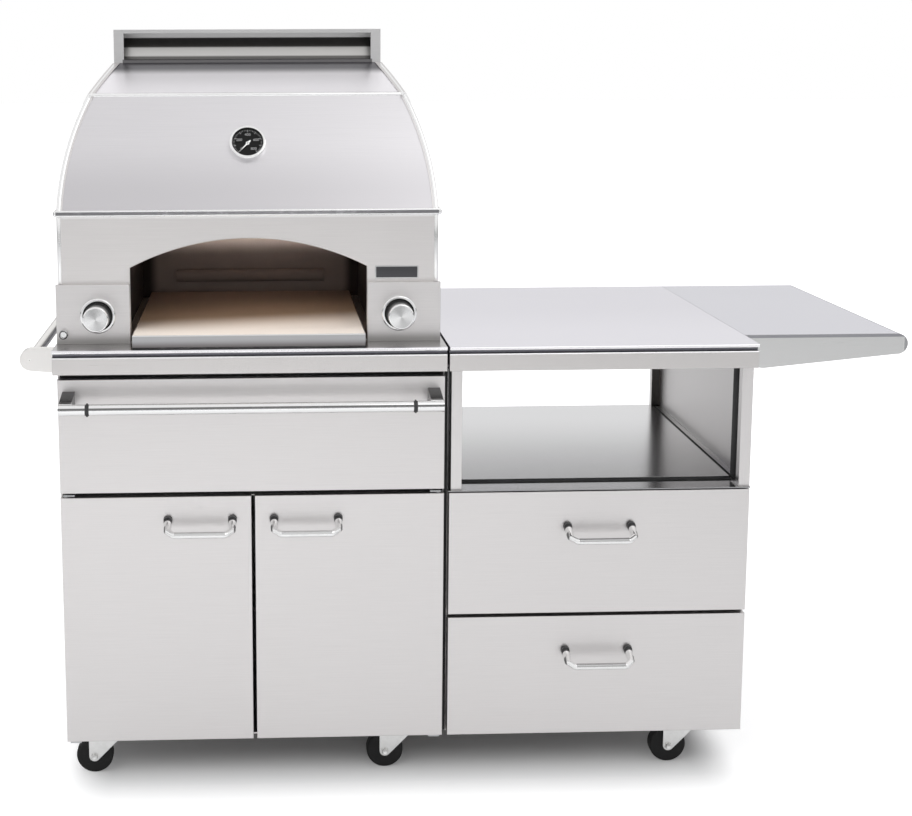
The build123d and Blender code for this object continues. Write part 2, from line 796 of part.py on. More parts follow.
with BuildPart() as oven_body_panels:
    behind_fascia = (fascia_face + panel, oven_back)
    for x in (oven_x_outer[0], oven_x_outer[1] - skin):
        block((x, x + skin), behind_fascia, (counter_top, body_top))
    rear_y = (oven_back - skin, oven_back)
    block(inner(oven_inside, joint_gap), rear_y, (counter_top + base_sheet, body_top))
    rod(oven_x, inner(rear_y, -1), knob_z, pipe_radius + inlet_play, mode=Mode.SUBTRACT)
save(oven_body_panels, "oven_body_panels")

vault_front = fascia_face + panel
vault_back = oven_back - service_gap
burner_y = vault_back - vault_wall - burner_clear
hearth_y = (sill_face + panel, burner_y - burner_radius - hearth_burner_gap)
rib_x = [around(oven_x + side, rib_half) for side in (-rib_offset, rib_offset)]

with BuildPart() as oven_base:
    block(oven_inside, behind_fascia, (counter_top, counter_top + base_sheet))
    for x in rib_x:
        block(x, (fascia_face + 2 * panel, hearth_y[1] - rib_half), (counter_top, hearth_z))
save(oven_base, "oven_base")

with BuildPart() as hearth_sill:
    sill_x = around(oven_x, hearth_half)
    block(sill_x, (sill_face, sill_face + panel), (counter_top, hearth_top))
    block(sill_x, (sill_face, fascia_face), (counter_top, counter_top + panel))
    for x in rib_x:
        block(x, (sill_face + rib_half, fascia_face), (counter_top, hearth_z))
save(hearth_sill, "hearth_sill")

with BuildPart() as hearth_stone:
    block(sill_x, hearth_y, (hearth_z, hearth_top))
    chamfer(hearth_stone.edges().group_by(Axis.Z)[-1].filter_by(Axis.Y), panel)
save(hearth_stone, "hearth_stone")

with BuildPart() as oven_vault:
    spring = counter_top + vault_side
    floor_z = counter_top + base_sheet
    with BuildSketch(front_plane(vault_back)):
        arched_shape(vault_half + vault_wall, floor_z, spring, vault_rise + vault_wall)
    extrude(amount=vault_back - vault_front)
    with BuildSketch(front_plane(vault_back - vault_wall)):
        arched_shape(vault_half, floor_z, spring, vault_rise)
    extrude(amount=vault_back - vault_front - vault_wall, mode=Mode.SUBTRACT)
    wall_y = (vault_back - 2 * vault_wall, vault_back + vault_wall)
    rod(oven_x, wall_y, knob_z, feed_radius + feed_play, mode=Mode.SUBTRACT)
save(oven_vault, "oven_vault")

cross_y = oven_back - pipe_back

with BuildPart() as rear_burner:
    rod(around(oven_x, burner_half), burner_y, knob_z, burner_radius)
    rod(oven_x, (burner_y, cross_y - fitting_half - joint_gap), knob_z, feed_radius)
save(rear_burner, "rear_burner")

valve_y = (fascia_face + panel, fascia_face + panel + valve_depth)
plunger_y = (valve_y[0] + plunger_depth, valve_y[0] + plunger_depth + plunger_length)

# Pipes and fittings feed both valves and the burner from the inlet at the back.
with BuildPart() as gas_train:
    fittings_x = (knob_x[0], oven_x, knob_x[1])
    for x in fittings_x:
        block(around(x, fitting_half), around(cross_y, fitting_half), around(knob_z, fitting_half))
    for low, high in zip(fittings_x, fittings_x[1:]):
        rod(inner((low, high), fitting_half + joint_gap), cross_y, knob_z, pipe_radius)
    rod(oven_x, (cross_y, oven_back + panel), knob_z, pipe_radius)
    rod(oven_x, (oven_back + panel, oven_back + inlet_proud), knob_z, inlet_radius)
    for x in knob_x:
        rod(x, (valve_y[1] + joint_gap, cross_y - fitting_half - joint_gap), knob_z, pipe_radius)
        block(around(x, valve_half), valve_y, around(knob_z, valve_half))
        rod(x, (valve_y[0] - panel, valve_y[0] + plunger_room), knob_z, plunger_radius, mode=Mode.SUBTRACT)
        rod(x, (valve_y[0], valve_y[1] - plunger_length), knob_z, stem_radius + stem_play, mode=Mode.SUBTRACT)
save(gas_train, "gas_train")

# Knobs push in against a sprung plunger and turn with their stems.
knob_y = (control_face - knob_air - knob_length, control_face - knob_air)

for side, x in zip(("left", "right"), knob_x):
    with BuildPart() as plunger:
        rod(x, plunger_y, knob_z, plunger_radius - running)
        rod(x, inner(plunger_y, -1), knob_z, stem_radius + running, mode=Mode.SUBTRACT)
    save(plunger, f"{side}_valve_plunger")

    with BuildPart() as knob:
        rod(x, knob_y, knob_z, knob_radius)
        fillet(knob.edges().filter_by(GeomType.CIRCLE).sort_by(Axis.Y)[0], knob_notch)
        rod(x, (knob_y[1] - knob_skirt, knob_y[1]), knob_z, knob_radius + knob_skirt_proud)
        rod(x, (knob_y[1], knob_y[1] + stem_length), knob_z, stem_radius)
        notch_z = (knob_z + knob_radius / 2, knob_z + knob_radius - knob_notch)
        block(around(x, knob_notch / 2), around(knob_y[0], 1), notch_z, mode=Mode.SUBTRACT)
    save(knob, f"{side}_knob")

with BuildPart() as control_bezels:
    bezel_y = (control_face - bezel_height, control_face)
    for x in knob_x:
        rod(x, bezel_y, knob_z, bezel_radius)
    fillet(control_bezels.edges().filter_by(GeomType.CIRCLE).group_by(Axis.Y)[0], knob_notch)
    for x in knob_x:
        rod(x, inner(bezel_y, -1), knob_z, bezel_bore, mode=Mode.SUBTRACT)
    small_y = (control_face - button_bezel_height, control_face)
    rod(button_x, small_y, button_z, button_bezel)
    rod(button_x, small_y, button_z, button_radius + button_bezel_play, mode=Mode.SUBTRACT)
save(control_bezels, "control_bezels")

with BuildPart() as push_button:
    button_front = control_face - button_proud
    rod(button_x, (button_front, button_front + button_length), button_z, button_radius)
    fillet(push_button.edges().filter_by(GeomType.CIRCLE).sort_by(Axis.Y)[0], button_play * 10)
save(push_button, "push_button")

# Hood

hood_profile = [
    (fascia_face, hood_bottom),
    (fascia_face + hood_run, hood_bottom + hood_rise),
    (fascia_face + hood_run + top_run, roof_z),
    (oven_back, roof_z),
]


def hood_outline(drawn_in, top, mode=Mode.ADD):
    """The hood seen from the front, its round sides drawn in."""
    radius = hood_radius - drawn_in
    turn = degrees(asin((top - hood_bottom) / radius))
    with BuildLine() as outline:
        right = CenterArc((oven_x + fascia_half - hood_radius, hood_bottom), radius, 0, turn)
        left = CenterArc((oven_x - fascia_half + hood_radius, hood_bottom), radius, 180, -turn)
        Line(right @ 1, left @ 1)
        Line(left @ 0, right @ 0)
    make_face(outline.edges(), mode=mode)


def hood_strip(points, inside, outside):
    """A sheet along the hood's side profile, across the whole hood."""
    with BuildSketch(Plane.YZ.offset(oven_x - fascia_half)) as section:
        with BuildLine():
            Polyline(*parallel(points, outside), *reversed(parallel(points, -inside)), close=True)
        make_face()
    extrude(section.sketch, amount=2 * fascia_half)


slope_angle = atan2(hood_run, hood_rise)
dial_spot = (
    oven_x,
    fascia_face + dial_up * hood_run,
    hood_bottom + dial_up * hood_rise,
)
dial_plane = Plane(dial_spot, x_dir=(1, 0, 0), z_dir=(0, -cos(slope_angle), sin(slope_angle)))
flue_x = around(oven_x, flue_half)
flue_y = (hood_profile[2][0], hood_profile[2][0] + flue_depth)
flue_z = (roof_z, roof_z + flue_height)
through_hood = oven_depth + hood_run

with BuildPart() as hood_seal:
    seal_x = inner(oven_x_outer, -seal_lap)
    seal_y = (fascia_face - seal_lap, oven_back)
    block(seal_x, seal_y, (body_top, hood_bottom))
    block(inner(seal_x, seal_width), inner(seal_y, seal_width), (body_top, hood_bottom), mode=Mode.SUBTRACT)
save(hood_seal, "hood_seal")

with BuildPart() as hood_front:
    hood_strip(hood_profile, panel, 0)
    with BuildSketch(front_plane(oven_back)):
        hood_outline(skin + joint_gap, roof_z)
    extrude(amount=through_hood, mode=Mode.INTERSECT)
    roof_hole = (inner(flue_x, 2 * flue_post), inner(flue_y, flue_post), around(roof_z, 2 * panel))
    block(*roof_hole, mode=Mode.SUBTRACT)
    with BuildSketch(dial_plane.offset(-2 * panel)):
        Circle(probe_radius + probe_play)
    extrude(amount=4 * panel, mode=Mode.SUBTRACT)
save(hood_front, "hood_front")

with BuildPart() as hood_rims:
    hood_strip(hood_profile[:3], 0, skin)
    with BuildSketch(front_plane(oven_back)):
        hood_outline(0, roof_z)
        hood_outline(rim_width, roof_z, mode=Mode.SUBTRACT)
    extrude(amount=through_hood, mode=Mode.INTERSECT)

with BuildPart() as hood_shell_panels:
    with BuildSketch(front_plane(oven_back)):
        hood_outline(0, roof_z)
        hood_outline(skin, roof_z, mode=Mode.SUBTRACT)
    extrude(amount=through_hood)
    with BuildSketch(Plane.YZ.offset(oven_x - oven_half)):
        with BuildLine():
            corners = ((oven_back, body_top), (fascia_face - panel, body_top))
            Polyline(*parallel(hood_profile, skin), *corners, close=True)
        make_face()
    extrude(amount=2 * oven_half, mode=Mode.INTERSECT)
    add(hood_rims.part)
    with BuildSketch(front_plane(oven_back)):
        hood_outline(skin + joint_gap, roof_z - panel - joint_gap)
    extrude(amount=skin)
save(hood_shell_panels, "hood_shell_panels")

# A flue box with a slot at the front, a vent in its top and a slanting baffle inside.
with BuildPart() as flue_box:
    block(flue_x, flue_y, flue_z)
    room_x = inner(flue_x, panel)
    room_y = inner(flue_y, panel)
    block(room_x, room_y, (flue_z[0], flue_z[1] - panel), mode=Mode.SUBTRACT)
    slot_z = (flue_z[0] + flue_lip, flue_z[1] - flue_cap)
    block(inner(flue_x, flue_post), (flue_y[0], flue_y[0] + panel), slot_z, mode=Mode.SUBTRACT)
    vent_y = (flue_y[0] + vent_set_back, flue_y[1] - flue_post)
    block(inner(flue_x, flue_post), vent_y, (flue_z[1] - panel, flue_z[1]), mode=Mode.SUBTRACT)
    with BuildSketch(Plane.YZ.offset(room_x[0])):
        with BuildLine():
            low = (room_y[0] + flue_post, slot_z[0])
            high = (room_y[1], slot_z[0] + baffle_rise)
            Polyline(low, high, (high[0], high[1] + panel), (low[0], low[1] + panel), close=True)
        make_face()
    extrude(amount=room_x[1] - room_x[0])
save(flue_box, "flue_box")

# Thermometer on the hood's slope

with BuildPart() as thermometer_case:
    with BuildSketch(dial_plane):
        Circle(case_radius)
    extrude(amount=case_height)
    outwards = Axis(dial_plane.origin, dial_plane.z_dir)
    fillet(thermometer_case.faces().sort_by(outwards)[-1].edges(), case_wall / 2)
    with BuildSketch(dial_plane.offset(case_floor)):
        Circle(case_radius - case_wall)
    extrude(amount=case_height, mode=Mode.SUBTRACT)
    with BuildSketch(dial_plane.offset(-probe_length)):
        Circle(probe_radius)
    extrude(amount=probe_length)
save(thermometer_case, "thermometer_case")

with BuildPart() as thermometer_dial:
    with BuildSketch(dial_plane.offset(case_floor)):
        Circle(case_radius - case_wall - dial_play)
    extrude(amount=dial_sheet)
    with BuildSketch(dial_plane.offset(case_floor)):
        Circle(needle_pin)
    extrude(amount=dial_sheet + needle_lift + 2 * needle_sheet)
save(thermometer_dial, "thermometer_dial")

with BuildPart() as thermometer_needle:
    with BuildSketch(dial_plane.offset(case_floor + dial_sheet + needle_lift)):
        with BuildLine():
            heading = radians(needle_angle)
            along = (cos(heading), sin(heading))
            across = (-along[1] * needle_width / 2, along[0] * needle_width / 2)
            tail = (-along[0] * needle_tail, -along[1] * needle_tail)
            Polyline(
                (along[0] * needle_length, along[1] * needle_length),
                across,
                (tail[0] + across[0], tail[1] + across[1]),
                (tail[0] - across[0], tail[1] - across[1]),
                (-across[0], -across[1]),
                close=True,
            )
        make_face()
        Circle(needle_hub)
        Circle(needle_pin + running, mode=Mode.SUBTRACT)
    extrude(amount=needle_sheet)
save(thermometer_needle, "thermometer_needle")
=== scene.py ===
"""Looks of the pizza oven cart: finishes on its solids, fine trim and a plain studio."""

import json
import math

import bmesh
import bpy
from mathutils import Matrix, Vector


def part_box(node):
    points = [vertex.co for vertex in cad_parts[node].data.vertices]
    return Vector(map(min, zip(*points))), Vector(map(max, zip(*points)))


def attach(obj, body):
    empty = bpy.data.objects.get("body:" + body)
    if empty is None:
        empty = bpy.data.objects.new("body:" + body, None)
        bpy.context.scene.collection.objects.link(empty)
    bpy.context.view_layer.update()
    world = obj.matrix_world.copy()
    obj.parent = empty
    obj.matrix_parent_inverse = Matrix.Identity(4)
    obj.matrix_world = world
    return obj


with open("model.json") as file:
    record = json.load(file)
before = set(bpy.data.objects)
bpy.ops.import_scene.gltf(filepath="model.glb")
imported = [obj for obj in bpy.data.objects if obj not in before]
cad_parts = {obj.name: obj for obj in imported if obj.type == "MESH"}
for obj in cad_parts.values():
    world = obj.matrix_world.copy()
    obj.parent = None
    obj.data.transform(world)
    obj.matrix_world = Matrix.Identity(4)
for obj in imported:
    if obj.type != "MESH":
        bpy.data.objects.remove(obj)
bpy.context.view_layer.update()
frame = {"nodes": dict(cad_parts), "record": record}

bl_info = {
    "name": "Pizza Oven Cart Looks",
    "version": (1, 0, 0),
    "blender": (4, 5, 0),
    "location": "View3D > Sidebar > Oven Cart",
    "description": "Dresses the oven cart in steel, chrome, ceramic and rubber",
    "category": "Object",
}

nodes = frame["nodes"]
node_slot = {part["node"]: part["material_slot"] for part in frame["record"]["subparts"]}

# Places read from the solids, in metres
hood_low, hood_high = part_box("hood_shell_panels")
flue_low, flue_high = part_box("flue_box")
seal_low, seal_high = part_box("hood_seal")
fascia_low, fascia_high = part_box("oven_front_fascia")
panel_low, panel_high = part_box("control_panels")
sill_low, sill_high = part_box("hearth_sill")
counter_low, counter_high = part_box("left_countertop")
cart_low, cart_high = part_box("cabinet_side_panels")
wide_low, wide_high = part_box("wide_drawer_front")
upper_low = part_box("upper_drawer_front")[0]
lower_low, lower_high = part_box("lower_drawer_front")
bay_low, bay_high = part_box("bay_floor")
door_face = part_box("left_door")[0].y
fascia_face = fascia_low.y
body_top = fascia_high.z
hood_bottom = hood_low.z
oven_x = (hood_low.x + hood_high.x) / 2
oven_half = (hood_high.x - hood_low.x) / 2

# Hood side profile, as built: slope, then the nearly flat top up to the flue
hood_radius = 0.5
hood_rise = 0.225
hood_run = 0.136
top_rise = hood_high.z - hood_bottom - hood_rise
top_run = 0.175
crease_angle = math.asin(hood_rise / hood_radius)
flue_angle = math.asin((hood_rise + top_rise) / hood_radius)

# Mouth of the oven
mouth_half = 0.234
mouth_spring = 1.05
mouth_crown = 1.107

# Tray on the bay's floor, and the black strip of painted shade along its right side
tray_right = cart_high.x - 0.0222
tray_front = door_face + 0.071
tray_back = bay_high.y - 0.03
tray_z = (bay_high.z - 0.004, bay_high.z - 0.0005)
tray_strip = 0.007

# Bare plate on the oven front
badge_x = (-0.193, -0.107)
badge_z = (1.024, 1.05)

# Thermometer dial: angles in degrees, numbers in steps of a tick
dial_first = 228
dial_sweep = 276
dial_ticks = 41
dial_step = 20

# Brushed grain: noise scale along each axis
grain_x = (9, 900, 900)
grain_y = (900, 9, 900)
grain_z = (900, 900, 9)
no_grain = (9, 9, 9)

# Rounding that the finishes give to sharp edges
sheet_edge = 0.0012
tube_edge = 0.0008


def colour_setting(name, description, default):
    return bpy.props.FloatVectorProperty(
        name=name, description=description, default=default, subtype="COLOR", size=3, min=0, max=1
    )


def length_setting(name, description, default):
    return bpy.props.FloatProperty(
        name=name, description=description, default=default, unit="LENGTH", min=0.0005, max=0.01
    )


class CartFinish(bpy.types.PropertyGroup):
    """Colours of the cart's finishes."""

    steel: colour_setting("Steel", "Brushed steel of the doors, drawers and panels", (0.735, 0.715, 0.71))
    chrome: colour_setting("Chrome", "Handles, knobs and bezels", (0.9, 0.9, 0.9))
    zinc: colour_setting("Zinc", "Caster forks and plates", (0.88, 0.88, 0.87))
    tread: colour_setting("Tread", "Black caster wheels", (0.012, 0.012, 0.012))
    stone: colour_setting("Stone", "Clean front of the hearth stone", (0.93, 0.85, 0.77))
    soot: colour_setting("Soot", "Sooted sides of the oven's chamber", (0.012, 0.008, 0.007))


class CartTrim(bpy.types.PropertyGroup):
    """Sizes of the fine trim."""

    hood_bead: length_setting("Hood Bead", "Radius of the round edge along the hood's sides", 0.005)
    hem_bead: length_setting("Hem Bead", "Radius of the hems above and below the hood seal", 0.0024)
    mouth_bead: length_setting("Mouth Bead", "Radius of the lip round the oven's mouth", 0.001)
    screw_radius: length_setting("Screw Radius", "Radius of the screw heads on the backs", 0.0042)


class CartStudio(bpy.types.PropertyGroup):
    """Camera and floor."""

    camera_place: bpy.props.FloatVectorProperty(
        name="Camera Place",
        description="Where the camera stands",
        default=(-0.419, -3.333, 1.474),
        subtype="TRANSLATION",
        unit="LENGTH",
        size=3,
    )
    camera_turn: bpy.props.FloatVectorProperty(
        name="Camera Turn",
        description="How the camera is turned",
        default=(math.radians(81.29), math.radians(0.22), math.radians(-2.02)),
        subtype="EULER",
        size=3,
    )
    lens: bpy.props.FloatProperty(
        name="Lens",
        description="Focal length in millimetres",
        default=62.06,
        unit="CAMERA",
        min=10,
        max=300,
    )
    shift: bpy.props.FloatVectorProperty(
        name="Shift",
        description="Lens shift that frames the cart as in the photograph",
        default=(0.155, -0.13),
        size=2,
    )
    floor: colour_setting("Floor", "Pale studio floor", (0.8, 0.8, 0.8))


class Socket:
    """An output of a node tree; sums on it add Math nodes."""

    def __init__(self, tree, output):
        self.tree = tree
        self.output = output

    def math(self, operation, *values):
        return self.tree.node("ShaderNodeMath", {"operation": operation}, dict(enumerate(values)))

    def __add__(self, other):
        return self.math("ADD", self, other)

    def __radd__(self, other):
        return self.math("ADD", other, self)

    def __sub__(self, other):
        return self.math("SUBTRACT", self, other)

    def __rsub__(self, other):
        return self.math("SUBTRACT", other, self)

    def __mul__(self, other):
        return self.math("MULTIPLY", self, other)

    def __rmul__(self, other):
        return self.math("MULTIPLY", other, self)

    def __pow__(self, other):
        return self.math("POWER", self, other)


class NodeTree:
    """A node tree being filled, of a material or of the world."""

    def __init__(self, owner):
        owner.use_nodes = True
        self.tree = owner.node_tree
        self.tree.nodes.clear()

    def node(self, kind, settings, inputs, output=0):
        """Adds a node, with its settings first, a ramp's stops among them, and then its sockets."""
        made = self.tree.nodes.new(kind)
        for name, value in settings.items():
            if name == "stops":
                self.set_stops(made.color_ramp, value)
            else:
                setattr(made, name, value)
        for name, value in inputs.items():
            self.feed(made.inputs[name], value)
        if made.outputs:
            return Socket(self, made.outputs[output])
        return None

    def feed(self, target, value):
        if isinstance(value, Socket):
            self.tree.links.new(value.output, target)
        else:
            target.default_value = value

    def set_stops(self, ramp, stops):
        """Grey levels along an eased ramp."""
        ramp.interpolation = "EASE"
        while len(ramp.elements) < len(stops):
            ramp.elements.new(0.5)
        for element, (spot, level) in zip(ramp.elements, stops):
            element.position = spot
            element.color = (level, level, level, 1)

    def light_path(self, ray):
        return self.node("ShaderNodeLightPath", {}, {}, ray)


class Finish(NodeTree):
    """A material being made: its nodes, its main shader and the piece's own coordinates."""

    def __init__(self, name, **constants):
        self.material = bpy.data.materials.new(name)
        super().__init__(self.material)
        values = {socket.replace("_", " "): value for socket, value in constants.items()}
        surface = self.node("ShaderNodeBsdfPrincipled", {}, values)
        self.shader = surface.output.node
        self.node("ShaderNodeOutputMaterial", {}, {"Surface": surface})
        self.place = self.node("ShaderNodeTexCoord", {}, {}, "Object")

    def give(self, socket, value):
        self.feed(self.shader.inputs[socket], value)

    def axis(self, letter):
        return self.node("ShaderNodeSeparateXYZ", {}, {0: self.place}, letter)

    def noise(self, scale, detail=3.0, roughness=0.5):
        """Noise over the piece's own coordinates, with a scale for each axis."""
        stretched = self.node("ShaderNodeMapping", {}, {"Vector": self.place, "Scale": scale})
        inputs = {"Vector": stretched, "Scale": 1.0, "Detail": detail, "Roughness": roughness}
        return self.node("ShaderNodeTexNoise", {}, inputs, "Fac")

    def ramp(self, value, start, end):
        """A value that goes smoothly from nothing at start to one at end."""
        inputs = {"Value": value, "From Min": start, "From Max": end}
        return self.node("ShaderNodeMapRange", {"interpolation_type": "SMOOTHSTEP"}, inputs)

    def within(self, ranges, soft):
        """One inside a box given by ranges along the axes, fading to nothing outside it."""
        share = 1.0
        for letter, (low, high) in ranges.items():
            place = self.axis(letter)
            share = self.ramp(place, low - soft, low) * self.ramp(place, high + soft, high) * share
        return share

    def mix(self, share, first, second):
        """Blends two colours; a Mix node's colour sockets are its inputs 6 and 7 and its output 2."""
        return self.node("ShaderNodeMix", {"data_type": "RGBA"}, {0: share, 6: first, 7: second}, 2)

    def done(self, base, rough, height, strength, distance, round_edge=0.0):
        """Gives colour, roughness and a bump, over rounded edges if asked; returns the material."""
        inputs = {"Height": height, "Strength": strength, "Distance": distance}
        if round_edge:
            inputs["Normal"] = self.node("ShaderNodeBevel", {"samples": 4}, {"Radius": round_edge}, "Normal")
        self.give("Base Color", base)
        self.give("Roughness", rough)
        self.give("Normal", self.node("ShaderNodeBump", {}, inputs, "Normal"))
        return self.material


def rgba(colour, level=1.0):
    return (colour[0] * level, colour[1] * level, colour[2] * level, 1.0)


def brushed_steel(name, colour, grain, roughness, contrast=0.05, marks=()):
    """Steel with fine brushed streaks, faint broad clouds and marks of painted light and shade: box,
    softness and tint of each.
    """
    finish = Finish(name, Metallic=1.0)
    streaks = finish.noise(grain, detail=4.0, roughness=0.6)
    clouds = finish.noise((2.2, 2.2, 2.2), detail=2.0)
    tone = streaks * 0.7 + clouds * 0.3
    base = finish.mix(tone, rgba(colour, 1 - 2 * contrast), rgba(colour, 1 + 2 * contrast))
    for ranges, soft, tint in marks:
        base = finish.mix(finish.within(ranges, soft), base, rgba(tint))
    rough = streaks * 0.16 + clouds * 0.06 + (roughness - 0.11)
    return finish.done(base, rough, streaks, strength=0.06, distance=0.0004, round_edge=sheet_edge)


def polished(name, colour, shade_from=None, strokes=()):
    """Chrome with wiping haze; painted shade and reflection make it dark from a depth on and in strokes:
    box, softness and strength of each.
    """
    finish = Finish(name, Metallic=1.0)
    haze = finish.noise((40, 40, 40))
    base = finish.mix(haze, rgba(colour, 0.96), rgba(colour, 1.03))
    rough = haze * 0.08 + 0.1
    if shade_from is not None:
        # Painted shade and reflection: dark chrome behind a depth and in the strokes
        dark = finish.ramp(finish.axis("Y"), shade_from, shade_from + 0.001)
        for ranges, soft, strength in strokes:
            dark = dark.math("MAXIMUM", dark, finish.within(ranges, soft) * strength)
        base = finish.mix(dark, base, (0.07, 0.07, 0.072, 1.0))
        rough = rough + dark * 0.15
    return finish.done(base, rough, haze, strength=0.02, distance=0.0003, round_edge=tube_edge)


def zinc_plate(name, colour):
    """Bright zinc with small crystal clouds."""
    finish = Finish(name, Metallic=1.0)
    clouds = finish.noise((60, 60, 60), detail=4.0, roughness=0.7)
    base = finish.mix(clouds, rgba(colour, 0.82), rgba(colour, 1.12))
    rough = clouds * 0.25 + 0.2
    return finish.done(base, rough, clouds, strength=0.05, distance=0.0005, round_edge=sheet_edge)


def rubber(name, colour):
    """Hard black rubber, scuffed a little greyer in patches."""
    finish = Finish(name, Metallic=0.0, Specular_IOR_Level=0.22)
    grain = finish.noise((900, 900, 900), detail=2.0)
    scuffs = finish.ramp(finish.noise((35, 35, 35), detail=5.0, roughness=0.7), 0.5, 0.8)
    base = finish.mix(scuffs, rgba(colour), rgba(colour, 2.6))
    rough = grain * 0.12 + scuffs * 0.15 + 0.52
    return finish.done(base, rough, grain, strength=0.15, distance=0.0003)


def hearth_ceramic(name, colour):
    """Fired stone: cream at the front edge, then brown under a painted shadow of the oven front, and sooted
    towards the back.
    """
    finish = Finish(name, Metallic=0.0)
    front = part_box("hearth_stone")[0].y
    # Painted shadow of the oven front: the cream turns brown further back, sooner towards the left
    depth = finish.axis("Y") + (finish.axis("X") - oven_x) * -0.22
    fascia_shadow = finish.ramp(depth, front + 0.06, front + 0.24)
    sooted = finish.ramp(depth, front + 0.2, front + 0.5)
    grain = finish.noise((500, 500, 500), detail=4.0, roughness=0.6)
    patches = finish.noise((9, 9, 9), detail=4.0, roughness=0.6)
    cream = finish.mix(grain, rgba(colour, 0.9), rgba(colour, 1.08))
    brown = finish.mix(patches, (0.21, 0.14, 0.09, 1.0), (0.3, 0.21, 0.14, 1.0))
    shaded_stone = finish.mix(fascia_shadow, cream, brown)
    base = finish.mix(sooted, shaded_stone, (0.12, 0.075, 0.05, 1.0))
    rough = grain * 0.15 + 0.72
    return finish.done(base, rough, grain, strength=0.25, distance=0.0006)


def vault_ceramic(name, colour, level=1.0):
    """Sooted chamber: black sides, and painted light that makes it paler and browner towards the crown."""
    finish = Finish(name, Metallic=0.0)
    patches = finish.noise((14, 14, 14), detail=5.0, roughness=0.6)
    grain = finish.noise((260, 260, 260))
    off = finish.axis("X") - oven_x
    sides = finish.ramp(off * off, 0.21**2, 0.236**2)
    # Painted light: the chamber pales and browns towards the crown
    upwards = finish.ramp(finish.axis("Z"), mouth_spring - 0.05, mouth_spring + 0.015)
    lit_crown = finish.mix(patches, (0.8, 0.66, 0.57, 1.0), (0.98, 0.84, 0.74, 1.0))
    thick = rgba((0.128, 0.098, 0.087), level)
    thin = rgba((0.19, 0.151, 0.133), level)
    sooted = finish.mix(patches, thick, thin)
    base = finish.mix(sides, finish.mix(upwards, sooted, lit_crown), rgba(colour))
    rough = patches * 0.2 + 0.7
    return finish.done(base, rough, grain, strength=0.3, distance=0.0008)


def heat_steel(name, colour):
    """Stainless steel that has been hot: faint straw and brown clouds."""
    finish = Finish(name, Metallic=1.0)
    streaks = finish.noise((12, 700, 700), detail=4.0, roughness=0.6)
    heat = finish.ramp(finish.noise((6, 6, 6), detail=4.0), 0.45, 0.75)
    clean = finish.mix(streaks, rgba(colour, 0.9), rgba(colour, 1.1))
    base = finish.mix(heat * 0.35, clean, (0.5, 0.42, 0.33, 1.0))
    rough = streaks * 0.2 + 0.3
    return finish.done(base, rough, streaks, strength=0.08, distance=0.0004, round_edge=sheet_edge)


def brass(name):
    """Plain brass, tarnished in patches."""
    finish = Finish(name, Metallic=1.0)
    tarnish = finish.noise((70, 70, 70), detail=4.0, roughness=0.6)
    base = finish.mix(tarnish, (0.4, 0.27, 0.1, 1.0), (0.78, 0.6, 0.28, 1.0))
    rough = tarnish * 0.3 + 0.2
    return finish.done(base, rough, tarnish, strength=0.05, distance=0.0004)


def enamel(name, colour, roughness, shine=0.5):
    """Smooth paint with a faint orange-peel texture."""
    finish = Finish(name, Metallic=0.0, Specular_IOR_Level=shine)
    peel = finish.noise((700, 700, 700), detail=2.0)
    base = finish.mix(peel, rgba(colour, 0.94), rgba(colour, 1.06))
    rough = peel * 0.1 + (roughness - 0.05)
    return finish.done(base, rough, peel, strength=0.06, distance=0.0002)


def spun_steel(name, colour, middle):
    """A turned face: a painted sheen of light and dark fans from its centre, and fine rings."""
    finish = Finish(name, Metallic=1.0)
    across = finish.axis("X") - middle.x
    up = finish.axis("Z") - middle.z
    turn = up.math("ARCTAN2", up, across)
    # Painted sheen: light and dark fans round the centre
    fans = turn.math("SINE", turn * 2.0 + 0.9) * 0.5 + 0.5
    radius = (across * across + up * up) ** 0.5
    rings = radius.math("SINE", radius * 9000.0) * 0.5 + 0.5
    base = finish.mix(fans, rgba(colour, 0.62), rgba(colour))
    rough = rings * 0.1 + 0.22
    return finish.done(base, rough, rings, strength=0.05, distance=0.0002)


def counter_marks():
    """Front edge of the countertops: a greyer apron of painted shade, painted highlights on the nose and the
    lip, and the painted shade of the groove between them.
    """
    front = counter_low.y
    top = counter_high.z
    lip_z = (top - 0.0165, top - 0.0138)
    nose_z = (top - 0.007, top - 0.0006)
    apron = {"Y": (front, front + 0.012), "Z": (counter_low.z, lip_z[0])}
    nose = {"Y": (front - 0.001, front + 0.004), "Z": nose_z}
    lip = {"Y": (front, front + 0.008), "Z": lip_z}
    groove = {"Y": (front + 0.0036, front + 0.018), "Z": (lip_z[1], nose_z[0])}
    return (
        (apron, 0.0006, (0.665, 0.645, 0.635)),
        (nose, 0.0004, (0.95, 0.94, 0.96)),
        (lip, 0.0005, (0.95, 0.94, 0.95)),
        (groove, 0.0003, (0.17, 0.17, 0.19)),
    )


def counter_top_marks():
    """Top of the counters: painted shade before the oven on the left, painted light that makes them paler
    towards the front on the right.
    """
    skin = 0.0004
    top = (counter_high.z - skin, counter_high.z)
    oven_shade = {"Y": (counter_low.y + 0.008, counter_high.y), "Z": top}
    front = {"Y": (counter_low.y, counter_low.y + 0.1)}
    return ((oven_shade, skin, (0.42, 0.41, 0.41)),), ((front, 0.4, (0.77, 0.755, 0.81)),)


def shelf_marks():
    """Painted light and shade on the side shelf: a paler front face, a painted shadow line under its top and
    a darker end in painted shade.
    """
    low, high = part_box("side_shelf")
    line = 0.006
    face = (low.y - 0.001, low.y + 0.003)
    return (
        ({"Y": face, "Z": (low.z, high.z)}, 0.0006, (0.69, 0.69, 0.685)),
        ({"Y": face, "Z": (high.z - line, high.z)}, 0.0006, (0.36, 0.36, 0.38)),
        ({"X": (high.x - line, high.x)}, 0.002, (0.42, 0.42, 0.43)),
    )


